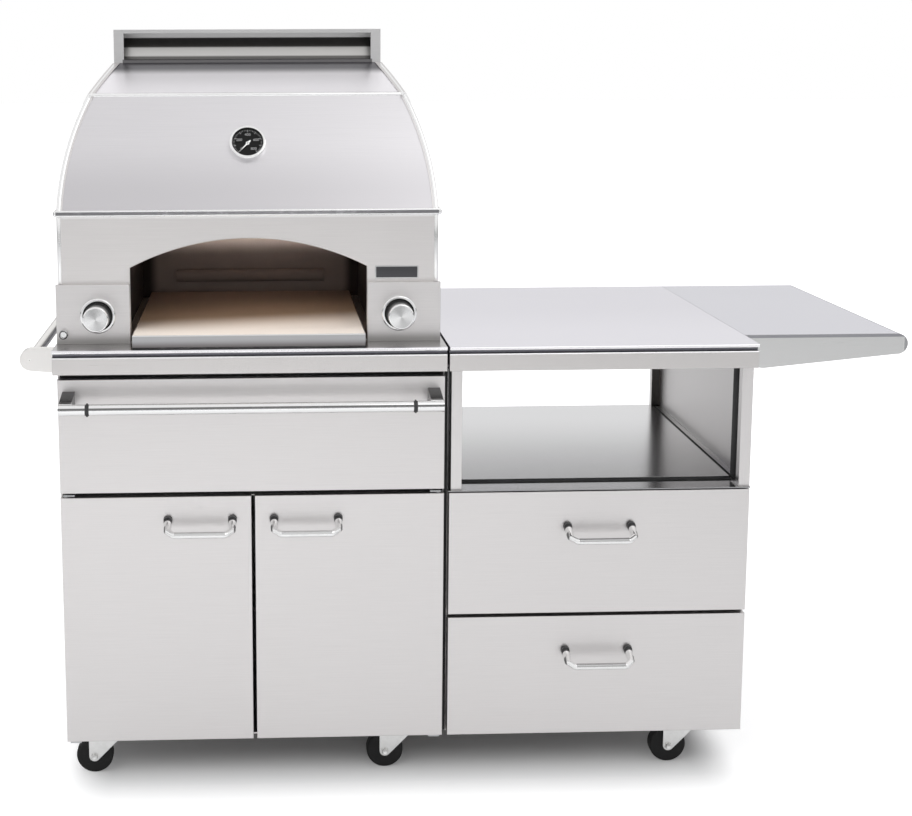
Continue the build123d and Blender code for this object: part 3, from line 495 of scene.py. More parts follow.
def flue_marks():
    """Painted light and shade of the flue: its slot grey below and black above, and painted shadow along the
    foot of the slot and of the flue.
    """
    wall = 0.006
    half = (flue_low.z + flue_high.z) / 2
    slot = {"X": (flue_low.x + 0.011, flue_high.x - 0.011), "Y": (flue_low.y + wall, flue_high.y - wall)}
    lower = {**slot, "Z": (flue_low.z, half - 0.004)}
    upper = {**slot, "Z": (half, flue_high.z - wall)}
    inner_foot = {**slot, "Z": (flue_low.z, flue_low.z + 0.012)}
    outer_foot = {"X": (flue_low.x + 0.0185, flue_high.x - 0.0185), "Z": (flue_low.z, flue_low.z + 0.007)}
    return (
        (lower, 0.004, (0.66, 0.65, 0.635)),
        (upper, 0.004, (0.035, 0.033, 0.03)),
        (inner_foot, 0.004, (0.12, 0.115, 0.11)),
        (outer_foot, 0.001, (0.2, 0.195, 0.2)),
    )


def hood_marks():
    """Painted light on the hood: a painted highlight on its roof, a painted reflection of the flue as a dark
    strip before it, and painted shade at the foot of its slope.
    """
    roof = {"Z": (hood_bottom + hood_rise + 0.003, hood_high.z)}
    strip = {"Y": (flue_low.y - 0.03, flue_high.y)}
    foot = {"Z": (hood_bottom, hood_bottom + 0.03)}
    return (
        (roof, 0.002, (0.96, 0.94, 0.97)),
        (strip, 0.04, (0.2, 0.195, 0.21)),
        (foot, 0.11, (0.63, 0.615, 0.635)),
    )


def sill_marks():
    """Sill under the stone: painted shade and reflection dark towards its foot, with a painted highlight on
    its upper edge.
    """
    rise = sill_high.z - sill_low.z
    return (
        ({"Z": (sill_low.z, sill_low.z + 0.1 * rise)}, 0.6 * rise, (0.2, 0.185, 0.185)),
        ({"Z": (sill_high.z - 0.0015, sill_high.z)}, 0.001, (0.85, 0.84, 0.84)),
    )


def post_marks():
    """Posts of the bay: painted shade inside the cabinet and along the seam beside the wide drawer."""
    seam = upper_low.x + 0.0035
    return (
        ({"Y": (0.0, cart_high.y - 0.019)}, 0.002, (0.1, 0.095, 0.09)),
        ({"X": (seam - 0.001, seam + 0.0006)}, 0.0003, (0.02, 0.02, 0.02)),
    )


def push_marks():
    """Painted shade on the inner side of the push handle's bar, between its brackets."""
    low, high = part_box("push_handle")
    bar = low.x + 0.022
    bracket = 0.021
    inner = {"X": (bar + 0.0075, bar + 0.012), "Y": (low.y + bracket, high.y - bracket)}
    return ((inner, 0.001, (0.16, 0.16, 0.165)),)


def bar_strokes():
    """A painted reflection as a dark line along the wide drawer's bar, and dark rings where its tube meets
    the posts.
    """
    low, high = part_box("wide_drawer_handle")
    middle = (low.z + high.z) / 2
    post = 0.055
    ring = 0.0036
    strokes = [({"Z": (middle - 0.0016, middle + 0.001)}, 0.0012, 0.85)]
    for joint in (low.x + post, high.x - post):
        strokes.append(({"X": (joint - ring, joint + ring)}, 0.0006, 1.0))
    return strokes


def bow_strokes(name, strength):
    """Painted reflections as dark strokes on a bow handle: along the top of its grip and outside its two
    elbows.
    """
    low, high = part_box(name)
    elbow = 0.024
    side = 0.0045
    elbow_y = (low.y + 0.006, low.y + 0.026)
    grip = {
        "X": (low.x + elbow, high.x - elbow),
        "Y": (low.y, low.y + 0.014),
        "Z": (low.z + 0.009, low.z + 0.0125),
    }
    return (
        (grip, 0.0015, strength),
        ({"X": (low.x, low.x + side), "Y": elbow_y}, 0.0015, 0.85),
        ({"X": (high.x - side, high.x), "Y": elbow_y}, 0.0015, 0.85),
    )


def finished(bm, name, body, material, smooth=True):
    """Turns a bmesh into a piece that rides on a body."""
    bmesh.ops.remove_doubles(bm, verts=bm.verts, dist=1e-6)
    open_edges = [edge for edge in bm.edges if edge.is_boundary]
    if open_edges:
        bmesh.ops.holes_fill(bm, edges=open_edges, sides=0)
    bmesh.ops.recalc_face_normals(bm, faces=bm.faces)
    mesh = bpy.data.meshes.new(name)
    bm.to_mesh(mesh)
    bm.free()
    if smooth:
        mesh.shade_smooth()
        mesh.set_sharp_from_angle(angle=math.radians(35))
    mesh.materials.append(material)
    piece = bpy.data.objects.new(name, mesh)
    bpy.context.scene.collection.objects.link(piece)
    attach(piece, body)


def edges_of(verts):
    return {edge for vert in verts for edge in vert.link_edges}


def round_off(bm, edges, offset, segments=2):
    bmesh.ops.bevel(
        bm, geom=list(edges), offset=offset, segments=segments, profile=0.5, affect="EDGES", material=-1
    )


def rounded_box(bm, xs, ys, zs, offset, segments=2):
    """A box between ranges along the three axes, its edges rounded off."""
    size = Matrix.Diagonal((xs[1] - xs[0], ys[1] - ys[0], zs[1] - zs[0], 1))
    spot = Matrix.Translation(((xs[0] + xs[1]) / 2, (ys[0] + ys[1]) / 2, (zs[0] + zs[1]) / 2))
    made = bmesh.ops.create_cube(bm, size=1, matrix=spot @ size)
    round_off(bm, edges_of(made["verts"]), offset, segments)


def drum(bm, middle, along, foot, head, depth, sides):
    """A closed drum about a direction, with the radii of its foot and its head; gives its vertices."""
    turn = Vector(along).to_track_quat("Z", "Y").to_matrix().to_4x4()
    stand = Matrix.Translation(middle) @ turn
    made = bmesh.ops.create_cone(
        bm, cap_ends=True, segments=sides, radius1=foot, radius2=head, depth=depth, matrix=stand
    )
    return made["verts"]


def straight_bead(bm, start, end, radius):
    """A round bead between two points, its ends rounded off."""
    start = Vector(start)
    end = Vector(end)
    along = end - start
    edges = edges_of(drum(bm, (start + end) / 2, along, radius, radius, along.length, 14))
    rims = [edge for edge in edges if any(len(face.verts) > 4 for face in edge.link_faces)]
    round_off(bm, rims, radius * 0.4)


def arc_bead(bm, middle, radius, first, last, bead, shear=0.0, steps=24):
    """A round bead along an arc about the Y axis, leaned back by a shear in Y over Z.

    Angles go from the +X side upwards. Gives back the bead's vertices.
    """
    turn = Matrix.Rotation(-first, 4, "Y")
    start = Matrix.Translation(middle) @ turn @ Matrix.Translation((radius, 0, 0))
    ring = bmesh.ops.create_circle(bm, cap_ends=False, segments=14, radius=bead, matrix=start)
    geom = ring["verts"] + list(edges_of(ring["verts"]))
    bmesh.ops.spin(bm, geom=geom, cent=middle, axis=(0, -1, 0), angle=last - first, steps=steps)
    reached = set(ring["verts"])
    wave = reached
    while wave:
        wave = {edge.other_vert(vert) for vert in wave for edge in vert.link_edges} - reached
        reached = reached | wave
    lean = Matrix.Identity(4)
    lean[1][2] = shear
    bmesh.ops.transform(bm, matrix=lean, space=Matrix.Translation(-Vector(middle)), verts=list(reached))
    return list(reached)


def button_head(bm, place, outward, radius, sides=20):
    """A low round or six-sided screw head standing on a face."""
    outward = Vector(outward)
    middle = Vector(place) + outward * radius * 0.22
    verts = drum(bm, middle, outward, radius, radius * 0.8, radius * 0.5, sides)
    caps = {face for vert in verts for face in vert.link_faces if len(face.verts) == sides}
    outer = max(caps, key=lambda face: face.calc_center_median().dot(outward))
    bmesh.ops.inset_region(bm, faces=[outer], thickness=radius * 0.35, depth=0)
    bmesh.ops.translate(bm, verts=outer.verts, vec=-outward * radius * 0.2)


class CART_OT_finishes(bpy.types.Operator):
    """Gives every solid of the cart its finish"""

    bl_idname = "cart.finishes"
    bl_label = "Finishes"

    def execute(self, context):
        colours = context.scene.cart_finish
        look = self.common_finishes(colours)
        own = self.own_finishes(colours)
        own.update(self.grip_finishes(tuple(colours.chrome)))
        for name, solid in nodes.items():
            solid.data.materials.clear()
            solid.data.materials.append(own.get(name, look[node_slot[name]]))
        return {"FINISHED"}

    def common_finishes(self, colours):
        """A finish for each material slot of the record."""
        steel = tuple(colours.steel)
        rows = {
            "brushed_stainless": (brushed_steel, steel, grain_x, 0.36),
            "cabinet_steel": (brushed_steel, steel, grain_z, 0.4),
            "plain_steel": (brushed_steel, (0.56, 0.57, 0.58), (30, 30, 30), 0.45, 0.1),
            "oven_steel": (heat_steel, (0.62, 0.6, 0.58)),
            "zinc_plate": (zinc_plate, tuple(colours.zinc)),
            "chrome": (polished, tuple(colours.chrome)),
            "black_tread": (rubber, tuple(colours.tread)),
            "dark_seal": (rubber, (0.025, 0.025, 0.026)),
            "hearth_ceramic": (hearth_ceramic, tuple(colours.stone)),
            "vault_ceramic": (vault_ceramic, tuple(colours.soot)),
            "brass_fitting": (brass,),
            "black_dial": (enamel, (0.008, 0.008, 0.008), 0.4, 0.15),
            "white_needle": (enamel, (0.85, 0.85, 0.83), 0.35),
        }
        return {slot: make(slot, *values) for slot, (make, *values) in rows.items()}

    def own_finishes(self, colours):
        """Finishes of single nodes: steel with its own colour, grain, roughness and marks of painted light
        and shade, the burner's soot darkened as painted shade, and the seal.
        """
        steel = tuple(colours.steel)
        lilac = (0.71, 0.695, 0.75)
        oven_shade, front_light = counter_top_marks()
        # Painted highlight on the fascia's top edge, painted shade at the foot of the control panels and
        # over the bay floor
        top_highlight = (({"Z": (body_top - 0.003, body_top)}, 0.007, (0.98, 0.97, 0.97)),)
        panel_foot_shade = (({"Z": (panel_low.z, panel_low.z + 0.003)}, 0.018, (0.46, 0.45, 0.44)),)
        bay_shade = (({"Y": (door_face, door_face + 0.08)}, 0.55, (0.36, 0.36, 0.365)),)
        # Each colour here is the one stainless steel made lighter or darker: painted light and shade on that
        # part
        rows = {
            "left_countertop": ("left_counter", lilac, grain_x, 0.24, counter_marks() + oven_shade),
            "right_countertop": ("counter", lilac, grain_x, 0.24, front_light + counter_marks()),
            "oven_front_fascia": ("fascia", (0.775, 0.752, 0.742), grain_x, 0.36, top_highlight),
            "side_shelf": ("shelf", (0.64, 0.635, 0.69), grain_x, 0.24, shelf_marks()),
            "hood_front": ("hood", (0.735, 0.72, 0.74), grain_x, 0.36, hood_marks()),
            "flue_box": ("flue", (0.66, 0.655, 0.655), grain_x, 0.4, flue_marks()),
            "hearth_sill": ("sill", (0.48, 0.48, 0.49), grain_x, 0.36, sill_marks()),
            "control_panels": ("panel", steel, grain_x, 0.36, panel_foot_shade),
            "frame_members": ("post", steel, grain_z, 0.36, post_marks()),
            "bay_floor": ("bay", (0.68, 0.68, 0.69), grain_x, 0.2, bay_shade),
            "push_handle": ("push", (0.86, 0.84, 0.82), (40, 40, 40), 0.24, push_marks()),
        }
        own = {}
        for name, (label, colour, grain, roughness, marks) in rows.items():
            own[name] = brushed_steel(label + "_steel", colour, grain, roughness, marks=marks)
        own["hood_seal"] = rubber("seal_rubber", (0.15, 0.15, 0.155))
        # The burner's soot darkened below the wall's: painted shade at the back of the chamber
        own["rear_burner"] = vault_ceramic("burner_shade", tuple(colours.soot), level=0.76)
        return own

    def grip_finishes(self, chrome):
        """Finishes of the knobs and handles, dark behind their fronts as painted shade, with how strong the
        painted reflection stroke on each bow's grip is.
        """
        own = {}
        for name in ("left_knob", "right_knob"):
            own[name] = polished(name + "_chrome", chrome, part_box(name)[0].y + 0.006)
        bar_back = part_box("wide_drawer_handle")[0].y + 0.027
        own["wide_drawer_handle"] = polished("bar_chrome", chrome, bar_back, bar_strokes())
        bow_back = door_face - 0.016
        grips = {"left_door": 0.3, "right_door": 0.3, "upper_drawer": 0.6, "lower_drawer": 0.6}
        for name, strength in grips.items():
            handle = name + "_handle"
            strokes = bow_strokes(handle, strength)
            own[handle] = polished(name + "_bow_chrome", chrome, bow_back, strokes)
        return own


class CART_OT_hood_trim(bpy.types.Operator):
    """Rounds the hood's sides, its crease, the hems at its seal and the lip of the mouth"""

    bl_idname = "cart.hood_trim"
    bl_label = "Hood Trim"

    def execute(self, context):
        sizes = context.scene.cart_trim
        # Paler, smoother steel on the beads and hems: a painted highlight on the rounded edges
        bright = brushed_steel("edge_highlight_steel", (0.93, 0.93, 0.93), no_grain, 0.24)
        self.round_sides(sizes.hood_bead, bright)
        self.lay_hems(sizes.hood_bead, sizes.hem_bead, bright)
        self.line_mouth(sizes.mouth_bead)
        return {"FINISHED"}

    def round_sides(self, bead, material):
        slope = (0.0, crease_angle, hood_run / hood_rise)
        roof = (crease_angle, flue_angle, top_run / top_rise)
        for side, name in ((-1, "hood_edge_left"), (1, "hood_edge_right")):
            bm = bmesh.new()
            middle = (oven_x + side * (oven_half - hood_radius), fascia_face, hood_bottom)
            for first, last, lean in (slope, roof):
                if side < 0:
                    first, last = math.pi - first, math.pi - last
                made = arc_bead(bm, middle, hood_radius - bead, first, last, bead, lean)
                bmesh.ops.translate(bm, verts=made, vec=(0, hood_run - lean * hood_rise, 0))
            finished(bm, name, "cart", material)

    def lay_hems(self, bead, hem, material):
        bm = bmesh.new()
        fold = 0.0045
        fold_half = oven_half - hood_radius * (1 - math.cos(crease_angle)) - bead
        fold_y = fascia_face + hood_run
        fold_z = hood_bottom + hood_rise - 0.003
        straight_bead(bm, (oven_x - fold_half, fold_y, fold_z), (oven_x + fold_half, fold_y, fold_z), fold)
        left, right = seal_low.x + hem, seal_high.x - hem
        front, back = seal_low.y + hem, seal_high.y - hem
        for z in (hood_bottom + 0.4 * hem, body_top - 0.4 * hem):
            straight_bead(bm, (left, front, z), (right, front, z), hem)
            for x in (left, right):
                straight_bead(bm, (x, front, z), (x, back, z), hem)
        cap = 0.0031
        cap_low = body_top - 0.0008
        cap_high = hood_bottom + 0.0008
        for x in (seal_low.x + cap, seal_high.x - cap):
            straight_bead(bm, (x, front, cap_low), (x, front, cap_high), cap)
        corner_y = fascia_face + 0.002
        for side in (-1, 1):
            x = oven_x + side * (oven_half - fold)
            straight_bead(bm, (x, corner_y, panel_high.z), (x, corner_y, body_top), fold)
        finished(bm, "hood_hems", "cart", material)

    def line_mouth(self, lip):
        bm = bmesh.new()
        rise = mouth_crown - mouth_spring
        radius = (mouth_half**2 + rise**2) / (2 * rise)
        spread = math.asin(mouth_half / radius)
        middle = (oven_x, fascia_face, mouth_crown - radius)
        arc_bead(bm, middle, radius, math.pi / 2 - spread, math.pi / 2 + spread, lip, steps=48)
        for side in (-1, 1):
            x = oven_x + side * mouth_half
            straight_bead(bm, (x, fascia_face, panel_high.z - 0.1), (x, fascia_face, mouth_spring), lip)
        lip_steel = brushed_steel("lip_steel", (0.66, 0.64, 0.63), no_grain, 0.3)
        finished(bm, "mouth_lip", "cart", lip_steel)


class CART_OT_dial_marks(bpy.types.Operator):
    """Puts ticks and plain numbers on the thermometer's dial"""

    bl_idname = "cart.dial_marks"
    bl_label = "Dial Marks"

    def execute(self, context):
        lean = math.atan2(hood_run, hood_rise)
        outward = Vector((0, -math.cos(lean), math.sin(lean)))
        up = Vector((0, math.sin(lean), math.cos(lean)))
        corners = [vert.co for vert in nodes["thermometer_dial"].data.vertices]
        face = max(corner.dot(outward) for corner in corners)
        low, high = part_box("thermometer_dial")
        middle = (low + high) / 2
        middle += outward * (face - middle.dot(outward) + 0.00005)
        axes = Matrix((Vector((1, 0, 0)), up, outward)).transposed()
        stand = Matrix.Translation(middle) @ axes.to_4x4()
        radius = (high.x - low.x) / 2
        grey = enamel("dial_print", (0.3, 0.3, 0.3), 0.5)
        bm = bmesh.new()
        for index in range(dial_ticks):
            self.print_tick(bm, stand, radius, index)
        for index in range(0, dial_ticks, 10):
            self.print_number(context, bm, stand, radius, index)
        finished(bm, "dial_marks", "cart", grey, smooth=False)
        return {"FINISHED"}

    def angle(self, index):
        return math.radians(dial_first - dial_sweep * index / (dial_ticks - 1))

    def print_tick(self, bm, stand, radius, index):
        long = index % 5 == 0
        length = radius * (0.17 if long else 0.09)
        width = radius * (0.035 if long else 0.02)
        thickness = 0.0002
        reach = radius * 0.93 - length / 2
        turn = Matrix.Rotation(self.angle(index), 4, "Z")
        spot = turn @ Matrix.Translation((reach, 0, thickness / 2))
        size = Matrix.Diagonal((length, width, thickness, 1))
        bmesh.ops.create_cube(bm, size=1, matrix=stand @ spot @ size)

    def print_number(self, context, bm, stand, radius, index):
        thickness = 0.0001
        words = bpy.data.curves.new("dial_number", "FONT")
        words.body = str(index * dial_step)
        words.size = radius * 0.26
        words.align_x = "CENTER"
        words.align_y = "CENTER"
        words.extrude = thickness
        holder = bpy.data.objects.new("dial_number", words)
        context.scene.collection.objects.link(holder)
        context.view_layer.update()
        shown = holder.evaluated_get(context.evaluated_depsgraph_get())
        digits = bpy.data.meshes.new_from_object(shown)
        bpy.data.objects.remove(holder)
        reach = radius * 0.58
        angle = self.angle(index)
        spot = Matrix.Translation((reach * math.cos(angle), reach * math.sin(angle), thickness))
        digits.transform(stand @ spot)
        bm.from_mesh(digits)
        bpy.data.meshes.remove(digits)


class CART_OT_knob_faces(bpy.types.Operator):
    """Caps the two gas knobs with turned faces"""

    bl_idname = "cart.knob_faces"
    bl_label = "Knob Faces"

    def execute(self, context):
        for knob in ("left_knob", "right_knob"):
            low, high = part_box(knob)
            middle = (low + high) / 2
            radius = (high.x - low.x) / 2
            bm = bmesh.new()
            spot = (middle.x, low.y, middle.z)
            verts = drum(bm, spot, (0, -1, 0), radius * 0.86, radius * 0.84, 0.001, 64)
            flats = {face for vert in verts for face in vert.link_faces if len(face.verts) > 4}
            front = min(flats, key=lambda face: face.calc_center_median().y)
            for ring, rise in ((0.05, 0.0), (0.3, 0.0004), (0.3, 0.0002)):
                bmesh.ops.inset_region(bm, faces=[front], thickness=radius * ring, depth=rise)
            spun = spun_steel(knob + "_spun", (0.9, 0.9, 0.9), middle)
            finished(bm, knob + "_face", knob, spun)
        return {"FINISHED"}


class CART_OT_badge_plate(bpy.types.Operator):
    """Fixes a small bare plate to the oven front"""

    bl_idname = "cart.badge_plate"
    bl_label = "Badge Plate"

    def execute(self, context):
        dark = brushed_steel("plate_dark", (0.09, 0.09, 0.095), grain_x, 0.4, 0.1)
        pale = brushed_steel("plate_rim", (0.6, 0.6, 0.6), grain_x, 0.3)
        for name, inset, out, material in (
            ("badge_rim", 0.0, 0.0016, pale),
            ("badge_field", 0.0022, 0.0022, dark),
        ):
            bm = bmesh.new()
            xs = (badge_x[0] + inset, badge_x[1] - inset)
            zs = (badge_z[0] + inset, badge_z[1] - inset)
            rounded_box(bm, xs, (fascia_face - out, fascia_face), zs, 0.0007, segments=3)
            finished(bm, name, "cart", material)
        return {"FINISHED"}


class CART_OT_caster_bolts(bpy.types.Operator):
    """Puts hexagon nuts on the casters' axles"""

    bl_idname = "cart.caster_bolts"
    bl_label = "Caster Bolts"

    def execute(self, context):
        zinc = zinc_plate("bolt_zinc", tuple(context.scene.cart_finish.zinc))
        nut_radius = 0.0072
        for row in ("front", "rear"):
            for place in ("left", "middle", "right"):
                corner = row + "_" + place
                low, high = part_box("caster_wheel_" + corner)
                middle = (low + high) / 2
                fork_low, fork_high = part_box("caster_fork_" + corner)
                bm = bmesh.new()
                for y, way in ((fork_low.y, -1), (fork_high.y, 1)):
                    button_head(bm, (middle.x, y, middle.z), (0, way, 0), nut_radius, sides=6)
                finished(bm, "axle_nuts_" + corner, corner + "_fork", zinc)
        return {"FINISHED"}


class CART_OT_shade_strips(bpy.types.Operator):
    """Lines the gaps between doors, drawers, counters and the oven with black strips of painted shade"""

    bl_idname = "cart.dark_seals"
    bl_label = "Dark Seals"

    def execute(self, context):
        # Black strips where only shade shows: painted shade in the gaps, along the tray and beside the post
        black = rubber("gap_shade_black", (0.022, 0.022, 0.022))
        right_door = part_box("right_door")[1]
        bay_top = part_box("right_countertop")[0].z
        gap_y = (cart_low.y - 0.0025, cart_low.y)
        end = 0.002
        lap = 0.004
        skin = 0.0006
        seam = (right_door.x + upper_low.x) / 2
        seam_half = 0.0035
        post = cart_high.x - 0.022
        post_y = (door_face + 0.03, door_face + 0.066)
        sill_z = (counter_high.z, counter_high.z + 0.0035)
        edge_y = (tray_front - 0.016, tray_front)
        edge_z = (tray_z[0], bay_high.z - 0.0024)
        strips = (
            ((seam - seam_half, seam + seam_half), gap_y, (lower_low.z, counter_low.z)),
            ((tray_right, tray_right + tray_strip), (tray_front + lap, tray_back), tray_z),
            ((post - skin, post), post_y, (bay_high.z + 0.001, bay_top)),
            ((upper_low.x + 0.028, tray_right), edge_y, edge_z),
            ((wide_low.x + end, wide_high.x), gap_y, (wide_high.z + 0.0005, counter_low.z)),
            ((wide_low.x + end, wide_high.x), gap_y, (right_door.z - lap, wide_low.z + lap)),
            ((lower_low.x + end, lower_high.x), gap_y, (lower_high.z - lap, upper_low.z + lap)),
            ((sill_low.x, sill_high.x), (sill_low.y - skin, sill_low.y), sill_z),
        )
        bm = bmesh.new()
        for xs, ys, zs in strips:
            rounded_box(bm, xs, ys, zs, 0.0002)
        finished(bm, "gap_shade_strips", "cart", black)
        return {"FINISHED"}


class CART_OT_bay_filler(bpy.types.Operator):
    """Fills the floor of the bay between its tray and the right side panel"""

    bl_idname = "cart.bay_filler"
    bl_label = "Bay Filler"

    def execute(self, context):
        grey = brushed_steel("filler_steel", (0.5, 0.5, 0.5), grain_y, 0.3)
        bm = bmesh.new()
        xs = (tray_right + tray_strip, cart_high.x - 0.002)
        rounded_box(bm, xs, (tray_front, tray_back), tray_z, 0.0005)
        finished(bm, "bay_filler", "cart", grey)
        return {"FINISHED"}


class CART_OT_bezel_wells(bpy.types.Operator):
    """Sets a black ring of painted shade into the bezels of the knobs and the push button"""

    bl_idname = "cart.bezel_wells"
    bl_label = "Bezel Wells"

    def execute(self, context):
        # Black ring where the bezel's hollow only shows shade: painted shade
        black = rubber("bezel_black", (0.01, 0.01, 0.01))
        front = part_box("control_bezels")[0].y
        ring_y = front - 0.0003
        gap = 0.0004
        thickness = 0.0004
        bm = bmesh.new()
        for name, width in (("left_knob", 0.0032), ("right_knob", 0.0032), ("push_button", 0.0016)):
            low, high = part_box(name)
            middle = (low + high) / 2
            inner = middle.x + (high.x - low.x) / 2 + gap
            ends = [bm.verts.new((x, ring_y, middle.z)) for x in (inner, inner + width)]
            edge = bm.edges.new(ends)
            bmesh.ops.spin(
                bm,
                geom=ends + [edge],
                cent=(middle.x, front, middle.z),
                axis=(0, 1, 0),
                angle=2 * math.pi,
                steps=64,
                use_merge=True,
            )
        bmesh.ops.remove_doubles(bm, verts=bm.verts, dist=1e-6)
        bmesh.ops.recalc_face_normals(bm, faces=bm.faces)
        bmesh.ops.solidify(bm, geom=bm.faces[:], thickness=thickness)
        finished(bm, "bezel_wells", "cart", black, smooth=False)
        return {"FINISHED"}


class CART_OT_back_trim(bpy.types.Operator):
    """Puts screws, a raised hem and pressed louvres on the cabinet backs and the oven's rear panel"""

    bl_idname = "cart.back_trim"
    bl_label = "Back Trim"

    def execute(self, context):
        zinc = zinc_plate("screw_zinc", (0.5, 0.5, 0.5))
        # Louvres and hems darker than the sheet they are pressed from: painted shade that sets them off
        pressed = brushed_steel("pressed_shade_steel", (0.5, 0.49, 0.49), grain_z, 0.32)
        low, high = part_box("cabinet_backs")
        oven_low, oven_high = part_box("oven_body_panels")
        split = (wide_high.x + upper_low.x) / 2
        joint = 0.005
        sheets = (
            ((low.x, split - joint), high.y, (low.z, high.z), 7),
            ((split + joint, high.x), high.y, (low.z, bay_low.z), 0),
            ((oven_low.x, oven_high.x), oven_high.y, (oven_low.z, oven_high.z), 5),
        )
        screws = bmesh.new()
        bm = bmesh.new()
        for xs, y, zs, louvres in sheets:
            self.fix_screws(screws, xs, y, zs, context.scene.cart_trim.screw_radius)
            self.press_sheet(bm, xs, y, zs, louvres)
        finished(bm, "back_louvres", "cart", pressed)
        finished(screws, "back_screws", "cart", zinc)
        return {"FINISHED"}

    def fix_screws(self, bm, xs, y, zs, radius):
        side = 0.018
        end = 0.016
        for x in (xs[0] + side, (xs[0] + xs[1]) / 2, xs[1] - side):
            for z in (zs[0] + end, zs[1] - end):
                button_head(bm, (x, y, z), (0, 1, 0), radius)

    def press_sheet(self, bm, xs, y, zs, louvres):
        margin = 0.034
        hem = 0.0016
        left, right = xs[0] + margin, xs[1] - margin
        foot, head = zs[0] + margin, zs[1] - margin
        for z in (foot, head):
            straight_bead(bm, (left, y, z), (right, y, z), hem)
        for x in (left, right):
            straight_bead(bm, (x, y, foot), (x, y, head), hem)
        louvre = 0.0036
        louvre_y = y - 0.001
        half = 0.07
        inward = 0.13
        for row in range(louvres):
            z = head - 0.03 - 0.016 * row
            for middle in (left + inward, right - inward):
                straight_bead(bm, (middle - half, louvre_y, z), (middle + half, louvre_y, z), louvre)


